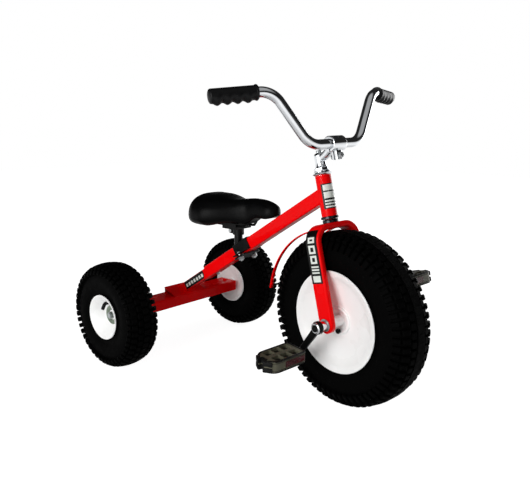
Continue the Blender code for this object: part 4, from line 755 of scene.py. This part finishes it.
class TRICYCLE_OT_grips(bpy.types.Operator):
    """Model the rubber grips with finger ridges"""

    bl_idname = "tricycle.grips"
    bl_label = "Grips"

    def execute(self, context):
        for side, sign in SIDES:
            bend, end, start = (Vector((x, sign * y, z)) for x, y, z in (BAR_BEND, BAR_END, GRIP_START))
            axis = (end - bend).normalized()
            start = bend + axis * (start - bend).dot(axis)
            length = (end - start).length
            down = Vector((0, 0, -1))
            down = (down - axis * down.dot(axis)).normalized()
            across = axis.cross(down)
            turns = [TAU * k / 28 for k in range(28)]
            rings = [[start + axis * 0.2 + (down * math.cos(t) + across * math.sin(t)) * 11.4
                      for t in turns]]
            for i in range(73):
                t = i / 72
                wave = 0.5 - 0.5 * math.cos(TAU * 4.0 * min(max((t - 0.10) / 0.84, 0.0), 1.0))
                flange = 1.6 * math.exp(-((t - 0.025) / 0.022) ** 4)
                close = math.sqrt(max(0.0, 1.0 - max(0.0, (t - 0.955) / 0.047) ** 2))
                one = []
                for angle in turns:
                    lobe = max(0.0, math.cos(angle)) ** 1.5
                    reach = (GRIP_R + flange + 4.6 * wave * lobe) * close
                    one.append(start + axis * (t * length)
                               + (down * math.cos(angle) + across * math.sin(angle)) * reach)
                rings.append(one)
            grip = loft(side + "_grip_rubber", rings)
            mount(grip, FORK, "grip_rubber", "steering", side + "_grip")
        return {"FINISHED"}


def on_guard(sign, turn):
    """Where one guard strap lies at a turn back from the top of the wheel."""
    return -GUARD_R * math.sin(turn), sign * GUARD_Y, GUARD_R * math.cos(turn)


class TRICYCLE_OT_guard(bpy.types.Operator):
    """Model the two guard straps with their rivets"""

    bl_idname = "tricycle.guard"
    bl_label = "Wheel guard"

    def execute(self, context):
        for side, sign in SIDES:
            path = []
            for i in range(41):
                turn = math.radians(GUARD_START + (GUARD_END - GUARD_START) * i / 40)
                path.append(Vector(on_guard(sign, turn)))
            pieces = [sweep(side + "_strap", path, rounded_box(3.0, GUARD_WIDE, 1.0, 2), (0, 1, 0))]
            for back in (3.0, 6.5):
                turn = math.radians(GUARD_END - back)
                head = revolve("rivet_head", [(0.0, 0.6)] + arc((0.0, -1.2), 4.4, 24, 85, 6)
                               + [(0.0, 3.2)], "Z", 24)
                tail = revolve("rivet_tail", [(0.0, -3.2), (2.6, -3.0), (3.2, -2.2), (3.2, -0.6),
                                              (0.0, -0.6)], "Z", 24)
                both = merge_pieces("rivet", [head, tail])
                spot = shift(*on_guard(sign, turn))
                pieces.append(settle(both, spot @ Matrix.Rotation(-turn, 4, "Y")))
            strap = merge_pieces(side + "_strap", pieces)
            mount(strap, FORK, "red_enamel", "steering", side + "_guard_strap")
        return {"FINISHED"}


def crank_outline(turn):
    """A crank seen along the axle: a large eye, a waist and a small eye."""
    neck = math.degrees(math.asin(8.5 / CRANK_EYE_R))
    tip = 180.0 - math.degrees(math.asin(6.6 / CRANK_TIP_R))
    outline = arc((0, 0), CRANK_EYE_R, neck, 360.0 - neck, 28)
    outline += arc((CRANK_LONG, 0), CRANK_TIP_R, -tip, tip, 20)
    c, s = math.cos(turn), math.sin(turn)
    return [(x * c - z * s, x * s + z * c) for x, z in outline]


class TRICYCLE_OT_cranks(bpy.types.Operator):
    """Model the cranks, their axle and nuts"""

    bl_idname = "tricycle.cranks"
    bl_label = "Cranks"

    def execute(self, context):
        spot = FORK.inverted().to_3x3() @ CRANK_LINE
        face = CRANK_Y + 6.3
        nut = [(0.0, 0.0), (12.0, 0.0), (12.5, 0.4), (12.5, 1.8), (12.0, 2.6), (10.6, 3.4), (9.4, 3.6),
               (8.4, 3.2), (7.8, 1.8), (0.0, 1.4)]
        axle_end = [(0.0, 1.6), (7.0, 1.8), (7.3, 2.4), (7.0, 5.6), (5.6, 7.2), (2.6, 7.9), (0.0, 8.0)]
        for side, sign in SIDES:
            way = math.atan2(spot.z, spot.x) + (0.0 if sign < 0 else math.pi)
            arm = extrude(side + "_crank_arm", crank_outline(way), "XZ", CRANK_THICK,
                          sign * CRANK_Y - CRANK_THICK / 2, 1.8, 3)
            for x, radius in ((0.0, 8.3), (CRANK_LONG, 5.8)):
                tool = rod("crank_hole", radius, -20.0, 20.0)
                tool.location = Vector((x * math.cos(way), sign * CRANK_Y, x * math.sin(way))) * MM
                carve(arm, tool)
            mount(arm, FORK, "black_steel", "front_wheel", side + "_crank")
            cap = turned(side + "_crank_cap", [(r, face + y) for r, y in nut], sign, 36)
            mount(cap, FORK, "chrome_plate", "front_wheel", side + "_crank_nut")
            plug = turned(side + "_axle_end", [(r, face + y) for r, y in axle_end], sign, 24)
            mount(plug, FORK, "black_steel", "front_wheel", slot="zinc")
        collar = CRANK_Y - 4.8
        half = [(8.0, 0.0), (8.0, 73.1), (10.0, 73.1), (10.5, 73.6), (10.5, collar - 0.5),
                (10.0, collar), (8.0, collar), (8.0, 98.0), (7.2, 99.0), (0.0, 99.0)]
        shaft = revolve("crank_shaft", [(r, -y) for r, y in reversed(half[1:])] + half, "Y", 36)
        mount(shaft, FORK, "chrome_plate", "front_wheel", "crank_axle", slot="zinc")
        return {"FINISHED"}


def pedal_plan(grow=0.0):
    """Outline of a pedal seen from above: square beside the crank, round and notched outside."""
    deep = PEDAL_DEEP / 2 + grow
    long = PEDAL_LONG + grow
    plan = [(deep - 4, -grow), (deep, 4 - grow), (deep, long - 26)]
    plan += arc((deep - 22, long - 26), 22, 8, 68, 8)
    plan += [(9, long), (7, long - 8), (-7, long - 8), (-9, long)]
    plan += arc((-deep + 22, long - 26), 22, 112, 172, 8)
    return plan + [(-deep, long - 26), (-deep, 4 - grow), (-deep + 4, -grow)]


class TRICYCLE_OT_pedals(bpy.types.Operator):
    """Model the cage pedals with their rubber rims and ends"""

    bl_idname = "tricycle.pedals"
    bl_label = "Pedals"

    def execute(self, context):
        half = PEDAL_TALL / 2
        wide, long = POCKET
        for side, sign, tilt in (("right", -1, 16.0), ("left", 1, 2.0)):
            pin = Vector(JOINTS[side + "_pedal_spin"]["pos_m"])
            steer = FORK.to_3x3() @ Matrix.Rotation(math.radians(tilt), 3, "Y")
            place = Matrix.Translation(pin) @ steer.to_4x4() @ shift(0, sign * PEDAL_INNER_Y, 0)
            if sign < 0:
                place = place @ Matrix.Rotation(math.pi, 4, "Z")
            body = extrude(side + "_pedal_cage", pedal_plan(), "XY", PEDAL_TALL, -half, 1.0, 2)
            trims = []
            for low, floor in ((half - 8.0, half - 7.9), (-half - 5.0, -half + 7.6)):
                for x in (15.5, -15.5):
                    for number in range(3):
                        spot = (x * MM, (22.0 + number * POCKET_STEP) * MM, 0)
                        pocket = extrude("tread_pocket", rounded_box(wide, long, 3.0, 3), "XY",
                                         13.0, low)
                        pocket.location = spot
                        carve(body, pocket)
                        # A thin dark sheet on each pocket's floor: painted shade in the pocket
                        shade_bed = extrude("pocket_shade_bed", rounded_box(wide - 0.2, long - 0.2, 2.9, 3), "XY",
                                      0.3, floor)
                        shade_bed.location = spot
                        trims.append(paint(shade_bed, "pocket_shade_nylon"))
            for x in (PEDAL_DEEP / 2 + 0.5, -PEDAL_DEEP / 2 - 0.5):
                recess = extrude("reflector_recess", rounded_box(56.0, 14.0, 1.5, 2), "YZ", 5.0, -2.5)
                recess.location = (x * MM, 33.0 * MM, 0)
                carve(body, recess)
            paint(body, "pedal_nylon")
            for level, thick, tall in ((half - 0.9, 4.6, 3.4), (-half + 0.9, 4.6, 3.4), (8.6, 1.4, 0.9),
                                       (-8.6, 1.4, 0.9)):
                path = [Vector((x, y, level)) for x, y in reversed(pedal_plan(0.6 - thick / 2))]
                rim = sweep("pedal_rim", path, rounded_box(thick, tall, 0.4, 2), (0, 0, 1), None, True)
                trims.append(paint(rim, "tread_rubber"))
            for level in (6.9, -6.9):
                path = [Vector((x, y, level)) for x, y in pedal_plan(1.0)[8:-8]]
                lobe = sweep("pedal_lobe", path, rounded_box(4.4, 10.4, 1.4, 3), (0, 0, 1))
                trims.append(paint(lobe, "tread_rubber"))
            body = merge_pieces(side + "_pedal_cage", [body] + trims)
            mount(body, place, None, side + "_pedal", side + "_pedal_body", slot="pedal_plastic")
        return {"FINISHED"}


def eased(t, start, length):
    """A soft step from nought to one."""
    t = min(max((t - start) / length, 0.0), 1.0)
    return t * t * (3 - 2 * t)


def saddle_half_width(t):
    rear = math.sqrt(max(0.0, 1.0 - ((0.22 - min(t, 0.22)) / 0.22) ** 2))
    nose = math.sqrt(max(0.0, 1.0 - (max(t - 0.90, 0.0) / 0.10) ** 2))
    return (87.5 - 63.0 * eased(t, 0.28, 0.44)) * max(rear, 0.04) * max(nose, 0.05)


def saddle_ring(t, count):
    """One section of the saddle, its skirt hanging beside a hollow underside."""
    half = saddle_half_width(t)
    dip = 7.2 * math.sin(math.pi * min(max((t - 0.25) / 0.5, 0.0), 1.0)) ** 2
    rear_drop = 46.0 * max(0.0, 1.0 - t / 0.17) ** 2
    nose_drop = 15.6 * max(0.0, (t - 0.80) / 0.20) ** 2
    top = SADDLE_TOP - dip - rear_drop - nose_drop - 6.9 * t
    lift = 18.0 * eased(t, 0.66, 0.13) + 11.0 * max(0.0, (t - 0.88) / 0.12) ** 2
    under = min(SADDLE_BASE + lift, top - 9.0)
    skirt = 11.0 * (1.0 - eased(t, 0.30, 0.22))
    base = under - skirt
    hollow = skirt * min(t / 0.08, 1.0)
    middle = base + (top - base) * 0.32
    one = []
    for k in range(count):
        turn = TAU * k / count
        across, up = math.cos(turn), math.sin(turn)
        y = half * math.copysign(abs(across) ** 0.75, across)
        if up >= 0:
            z = middle + (top - middle) * up ** 0.85
        else:
            z = middle - (middle - base) * min(abs(up) / 0.7, 1.0) ** 0.6
            y *= 1.0 - 0.09 * abs(up)
            z += hollow * min(max((abs(up) - 0.72) / 0.14, 0.0), 1.0)
        one.append((REAR_AXLE_X / MM + SADDLE_REAR + SADDLE_LONG * t, y, z))
    return one


class TRICYCLE_OT_saddle(bpy.types.Operator):
    """Model the moulded saddle with its skirt and hollow underside"""

    bl_idname = "tricycle.saddle"
    bl_label = "Saddle"

    def execute(self, context):
        steps = 64
        rings = [saddle_ring(0.5 - 0.5 * math.cos(math.pi * i / steps), 48) for i in range(steps + 1)]
        saddle = loft("saddle_pad", rings, smooth=80.0)
        mount(saddle, Matrix.Identity(4), "saddle_vinyl", "seat", "saddle")
        return {"FINISHED"}


def curved_plate(name, turns, heights, radius, thick):
    """A piece of film bent round a tube that stands on local Z."""
    outline = arc((0, 0), radius + thick, turns[0], turns[1], 24)
    outline += arc((0, 0), radius, turns[1], turns[0], 24)
    return extrude(name, outline, "XY", heights[1] - heights[0], heights[0])


def leg_strip(name, sign, span, across, lift, thick):
    """A piece of film on a fork leg's outer face, by its length along the leg and shoulder."""
    flat = CROWN_W - SHOULDER_R
    reach = SHOULDER_R + LEG_THICK / 2 + lift
    points = []
    for i in range(25):
        along = span[0] + (span[1] - span[0]) * i / 24
        if along <= flat:
            points.append(Vector((0, LEG_Y + LEG_THICK / 2 + lift, along)))
        else:
            turn = (along - flat) / (SHOULDER_R + LEG_THICK / 2)
            points.append(Vector((0, LEG_Y - SHOULDER_R + reach * math.cos(turn),
                                  flat + reach * math.sin(turn))))
    rings = []
    for before, point, after in zip(points[:1] + points, points, points[1:] + points[-1:]):
        out = (after - before).normalized().cross(Vector((1, 0, 0)))
        if out.y < 0:
            out = -out
        corners = [(across[0], 0.0), (across[1], 0.0), (across[1], thick), (across[0], thick)]
        rings.append([Vector((u, sign * (point + out * h).y, (point + out * h).z)) for u, h in corners])
    return loft(name, rings, smooth=40.0)


def stripes(low):
    """The three stripes of a panel, each as (from, to) along it."""
    return [(low + i * STRIPE_PITCH, low + i * STRIPE_PITCH + STRIPE) for i in range(3)]


class TRICYCLE_OT_panels(bpy.types.Operator):
    """Lay the plain black and white panels on the fork, head and stub tube"""

    bl_idname = "tricycle.panels"
    bl_label = "Panels"

    def execute(self, context):
        thick = context.scene.tricycle_sizes.panel_thickness / MM
        lift, ink = thick * 0.8, thick * 0.7
        # White marks on a fork leg: from and to along the leg, then from and to across it
        squares = [(136.5, 154.5, -11.0, 8.5), (158.5, 177.0, -11.5, 8.5), (182.0, 195.0, -11.0, 9.0)]
        marks = [(95.5, 109.5, -12.0, 10.5)] + squares
        marks += [(*span, -12.0, 10.5) for span in stripes(114.5)]
        for side, sign in SIDES:
            name = side + "_fork_panel"
            ground = leg_strip(name, sign, (92.0, 212.0), (-17.5, 15.5), 0.02, thick)
            pieces = [paint(ground, "vinyl_black")]
            for low, high, back, front in marks:
                mark = leg_strip("fork_mark", sign, (low, high), (back, front), lift, ink)
                pieces.append(paint(mark, "vinyl_white"))
            for low, high, back, front in squares:
                core = leg_strip("fork_core", sign, (low + 4.5, high - 4.5), (back + 5.5, front - 5.5),
                                 thick * 1.4, thick * 0.4)
                pieces.append(paint(core, "vinyl_black"))
            mount(merge_pieces(name, pieces), FORK, None, "steering", slot="red_paint")
        ground = curved_plate("head_panel", (-84.0, 84.0), (250.0, 306.0), HEAD_R + 0.02, thick)
        pieces = [paint(ground, "vinyl_black")]
        for span in [(290.5, 303.5), (273.5, 287.5)] + stripes(252.5):
            mark = curved_plate("head_mark", (-70.0, 70.0), span, HEAD_R + lift, ink)
            pieces.append(paint(mark, "vinyl_white"))
        mount(merge_pieces("head_panel", pieces), HEAD, None, "frame", slot="red_paint")
        for side, sign in SIDES:
            name = side + "_stub_panel"
            ground = extrude(name, rounded_box(92.0, 22.0, 2.2, 3), "XY", thick)
            pieces = [paint(ground, "vinyl_black")]
            for i in range(7):
                block = extrude("stub_mark", rounded_box(8.0, 9.0, 0.8, 3), "XY", ink, lift)
                block.location = ((-37.0 + i * 12.4) * MM, -1.0 * MM, 0)
                pieces.append(paint(block, "vinyl_white"))
            turn = Matrix.Rotation(TAU / 4, 4, "X")
            if sign > 0:
                turn = Matrix.Rotation(math.pi, 4, "Z") @ turn
            place = TUBE @ shift(76.0, sign * (STUB_SIZE / 2 + 0.02), 0) @ turn
            mount(merge_pieces(name, pieces), place, None, "frame", slot="red_paint")
        return {"FINISHED"}


KEPT = {
    "red_enamel": ["rear_frame"],
    "white_enamel": ["front_hub"],
    "zinc_plate": ["frame_bolt", "rear_axle", "right_rear_axle_nut", "left_rear_axle_nut",
                   "stem_expander_bolt", "stem_clamp_bolt", "right_pedal_spindle",
                   "left_pedal_spindle", "saddle_clamp_bolt", "seat_bolt_right", "seat_bolt_left",
                   "seat_nut_right", "seat_nut_left", "lower_ball_ring", "upper_ball_ring"],
    "black_steel": ["guard_cross_bar", "hub_drive_bolt", "saddle_rails", "saddle_clamp",
                    "seat_bracket", "seat_lower_plate"],
    "reflector": ["right_pedal_front_reflector", "right_pedal_rear_reflector",
                  "left_pedal_front_reflector", "left_pedal_rear_reflector"],
}


class TRICYCLE_OT_fittings(bpy.types.Operator):
    """Give the frame's own small parts their finishes"""

    bl_idname = "tricycle.fittings"
    bl_label = "Fittings"

    def execute(self, context):
        for look, nodes in KEPT.items():
            for node in nodes:
                part = frame["nodes"][node]
                for slot in part.material_slots:
                    slot.material = finish(look)
                if not part.material_slots:
                    part.data.materials.append(finish(look))
        return {"FINISHED"}


# Stage

# Each lamp's place and size in metres and its energy in watts; all point at LAMP_AIM
LAMPS = {"key": ((0.1, -2.95, 0.9), 2.0, 78.0), "fill": ((2.4, -1.4, 1.2), 1.6, 3.0),
         "far_side": ((0.5, 3.0, 0.7), 2.0, 48.0)}
LAMP_AIM = Vector((0, 0, 0.3))

# The camera fitted to the photograph: focal length and picture width in pixels, the ways to
# its right and up, and its place from the ground below the rear axle
FOCAL_PIXELS = 571.04
PICTURE_PIXELS = 530.0
SENSOR_WIDTH = 36.0
CAMERA_RIGHT = Vector((0.751500, 0.659653, 0.010273))
CAMERA_UP = Vector((-0.144745, 0.149666, 0.978084))
CAMERA_PLACE = Vector((1.235643, -1.053105, 0.617240))


def math_node(tree, operation, *values):
    """One sum of two values, each a number or the (node, output) that feeds it."""
    node = add_node(tree, "ShaderNodeMath", {"operation": operation})
    for socket, value in zip(node.inputs, values):
        if isinstance(value, tuple):
            tree.links.new(value[0].outputs[value[1]], socket)
        else:
            socket.default_value = value
    return node, "Value"


def clear_view(tree, path):
    """One where the stage is seen straight or through glass."""
    return math_node(tree, "MAXIMUM", (path, "Is Camera Ray"), (path, "Is Transmission Ray"))


def towards(tree, way, direction):
    """How far a way through the world leans towards a direction."""
    node = add_node(tree, "ShaderNodeVectorMath", {"operation": "DOT_PRODUCT"})
    tree.links.new(way.outputs["Generated"], node.inputs[0])
    node.inputs[1].default_value = direction
    return node, "Value"


def background(tree, strength):
    if isinstance(strength, tuple):
        return add_node(tree, "ShaderNodeBackground", {"Color": (1, 1, 1, 1)}, {"Strength": strength})
    return add_node(tree, "ShaderNodeBackground", {"Color": (1, 1, 1, 1), "Strength": strength})


def choose(tree, factor, no, yes):
    """Mix two shaders by a factor of nought or one."""
    node = add_node(tree, "ShaderNodeMixShader", None, {"Fac": factor})
    tree.links.new(no.outputs[0], node.inputs[1])
    tree.links.new(yes.outputs[0], node.inputs[2])
    return node


def lay_floor(scene):
    """A plain floor that looks white and keeps the object's shadow, its glow painted lighter far out
    and its reflections painted darker close under the object.
    """
    clear_selection()
    bpy.ops.mesh.primitive_plane_add(size=1.0)
    floor = bpy.context.object
    floor.name = "floor"
    bpy.ops.object.mode_set(mode="EDIT")
    bpy.ops.transform.resize(value=(14.0, 14.0, 1.0), center_override=(0, 0, 0))
    bpy.ops.object.mode_set(mode="OBJECT")
    pale = bpy.data.materials.new("studio_floor")
    pale.use_nodes = True
    tree = pale.node_tree
    path = add_node(tree, "ShaderNodeLightPath")
    spot = add_node(tree, "ShaderNodeNewGeometry")
    far = add_node(tree, "ShaderNodeVectorMath", {"operation": "LENGTH"},
                   {"Vector": (spot, "Position")}), "Value"
    # What the camera sees glows more with distance: painted light on the far floor, where the lamps
    # reach less
    white = ramp(tree, far, 0.7, 2.4, 0.93, 1.0)
    # Painted shadow: the floor close under the object is dimmer in its reflections than the floor
    # around, standing in for the object's shadow there
    mirrored = ramp(tree, far, 0.3, 1.3, 0.3, 0.95)
    glow = math_node(tree, "MAXIMUM", math_node(tree, "MULTIPLY", clear_view(tree, path), white),
                     math_node(tree, "MULTIPLY", (path, "Is Glossy Ray"), mirrored))
    shader = tree.nodes["Principled BSDF"]
    shader.inputs["Base Color"].default_value = (*scene.tricycle_colours.floor, 1.0)
    shader.inputs["Roughness"].default_value = 0.9
    shader.inputs["Emission Color"].default_value = (1, 1, 1, 1)
    tree.links.new(glow[0].outputs[glow[1]], shader.inputs["Emission Strength"])
    floor.data.materials.append(pale)


def light_world(scene):
    """A white world, dim for light on the object and shaped for what chrome mirrors."""
    scene.world = bpy.data.worlds.new("studio")
    scene.world.use_nodes = True
    tree = scene.world.node_tree
    tree.nodes.clear()
    path = add_node(tree, "ShaderNodeLightPath")
    way = add_node(tree, "ShaderNodeTexCoord")
    split = add_node(tree, "ShaderNodeSeparateXYZ", None, {"Vector": (way, "Generated")})
    # White round the sides and dark overhead, with a dim panel high on one side
    roof = ramp(tree, (split, "Z"), 0.02, 0.2, 0.9, 0.02)
    panel = ramp(tree, towards(tree, way, (0.40, -0.25, 0.88)), 0.66, 0.88, 0.0, 0.42, "SMOOTHSTEP")
    # Dark on the side that the object faces, which draws the dark middle on upright chrome
    room = ramp(tree, towards(tree, way, (0.76, -0.65, 0.0)), 0.35, 0.8, 1.0, 0.12, "SMOOTHSTEP")
    mirrored = math_node(tree, "MAXIMUM", math_node(tree, "MULTIPLY", roof, room), panel)
    glossy = choose(tree, (path, "Is Glossy Ray"), background(tree, 0.16), background(tree, mirrored))
    both = choose(tree, clear_view(tree, path), glossy, background(tree, 1.0))
    add_node(tree, "ShaderNodeOutputWorld", None, {"Surface": (both, "Shader")})


class TRICYCLE_OT_stage(bpy.types.Operator):
    """Set up the floor, backdrop, lights and camera"""

    bl_idname = "tricycle.stage"
    bl_label = "Stage"

    def execute(self, context):
        scene = context.scene
        scene.view_settings.view_transform = "Standard"
        lay_floor(scene)
        light_world(scene)
        for name, (place, size, energy) in LAMPS.items():
            clear_selection()
            bpy.ops.object.light_add(type="AREA", location=place)
            lamp = bpy.context.object
            lamp.name = name
            lamp.data.size = size
            lamp.data.energy = energy
            away = Vector(place) - LAMP_AIM
            lamp.rotation_euler = away.to_track_quat("Z", "Y").to_euler()
        camera = bpy.data.cameras.new("camera")
        camera.sensor_width = SENSOR_WIDTH
        camera.lens = FOCAL_PIXELS * SENSOR_WIDTH / PICTURE_PIXELS
        holder = bpy.data.objects.new("camera", camera)
        scene.collection.objects.link(holder)
        scene.camera = holder
        back = CAMERA_RIGHT.cross(CAMERA_UP).normalized()
        turn = Matrix((CAMERA_RIGHT, CAMERA_UP, back)).transposed().to_quaternion()
        place = CAMERA_PLACE + Vector((REAR_AXLE_X, 0, 0))
        holder.matrix_world = Matrix.LocRotScale(place, turn, None)
        return {"FINISHED"}


PIECES = (TRICYCLE_OT_tyres, TRICYCLE_OT_rims, TRICYCLE_OT_fork, TRICYCLE_OT_frame,
          TRICYCLE_OT_headset, TRICYCLE_OT_bar, TRICYCLE_OT_grips, TRICYCLE_OT_guard,
          TRICYCLE_OT_cranks, TRICYCLE_OT_pedals, TRICYCLE_OT_saddle, TRICYCLE_OT_panels,
          TRICYCLE_OT_fittings, TRICYCLE_OT_stage)


class TRICYCLE_PT_panel(bpy.types.Panel):
    """Lists the pieces of the tricycle"""

    bl_idname = "TRICYCLE_PT_panel"
    bl_label = "Tricycle"
    bl_space_type = "VIEW_3D"
    bl_region_type = "UI"
    bl_category = "Tricycle"

    def draw(self, context):
        layout = self.layout
        for group in (context.scene.tricycle_sizes, context.scene.tricycle_colours):
            for key in group.bl_rna.properties.keys():
                if key not in ("rna_type", "name"):
                    layout.prop(group, key)
        for piece in PIECES:
            layout.operator(piece.bl_idname)


CLASSES = (TricycleSizes, TricycleColours) + PIECES + (TRICYCLE_PT_panel,)


def register():
    for one in CLASSES:
        bpy.utils.register_class(one)
    bpy.types.Scene.tricycle_sizes = PointerProperty(type=TricycleSizes)
    bpy.types.Scene.tricycle_colours = PointerProperty(type=TricycleColours)


def unregister():
    del bpy.types.Scene.tricycle_colours
    del bpy.types.Scene.tricycle_sizes
    for one in reversed(CLASSES):
        bpy.utils.unregister_class(one)


def main():
    register()
    bpy.ops.tricycle.stage()
    bpy.ops.tricycle.tyres()
    bpy.ops.tricycle.rims()
    bpy.ops.tricycle.fork()
    bpy.ops.tricycle.frame()
    bpy.ops.tricycle.headset()
    bpy.ops.tricycle.bar()
    bpy.ops.tricycle.grips()
    bpy.ops.tricycle.guard()
    bpy.ops.tricycle.cranks()
    bpy.ops.tricycle.pedals()
    bpy.ops.tricycle.saddle()
    bpy.ops.tricycle.panels()
    bpy.ops.tricycle.fittings()


if __name__ == "__main__":
    main()
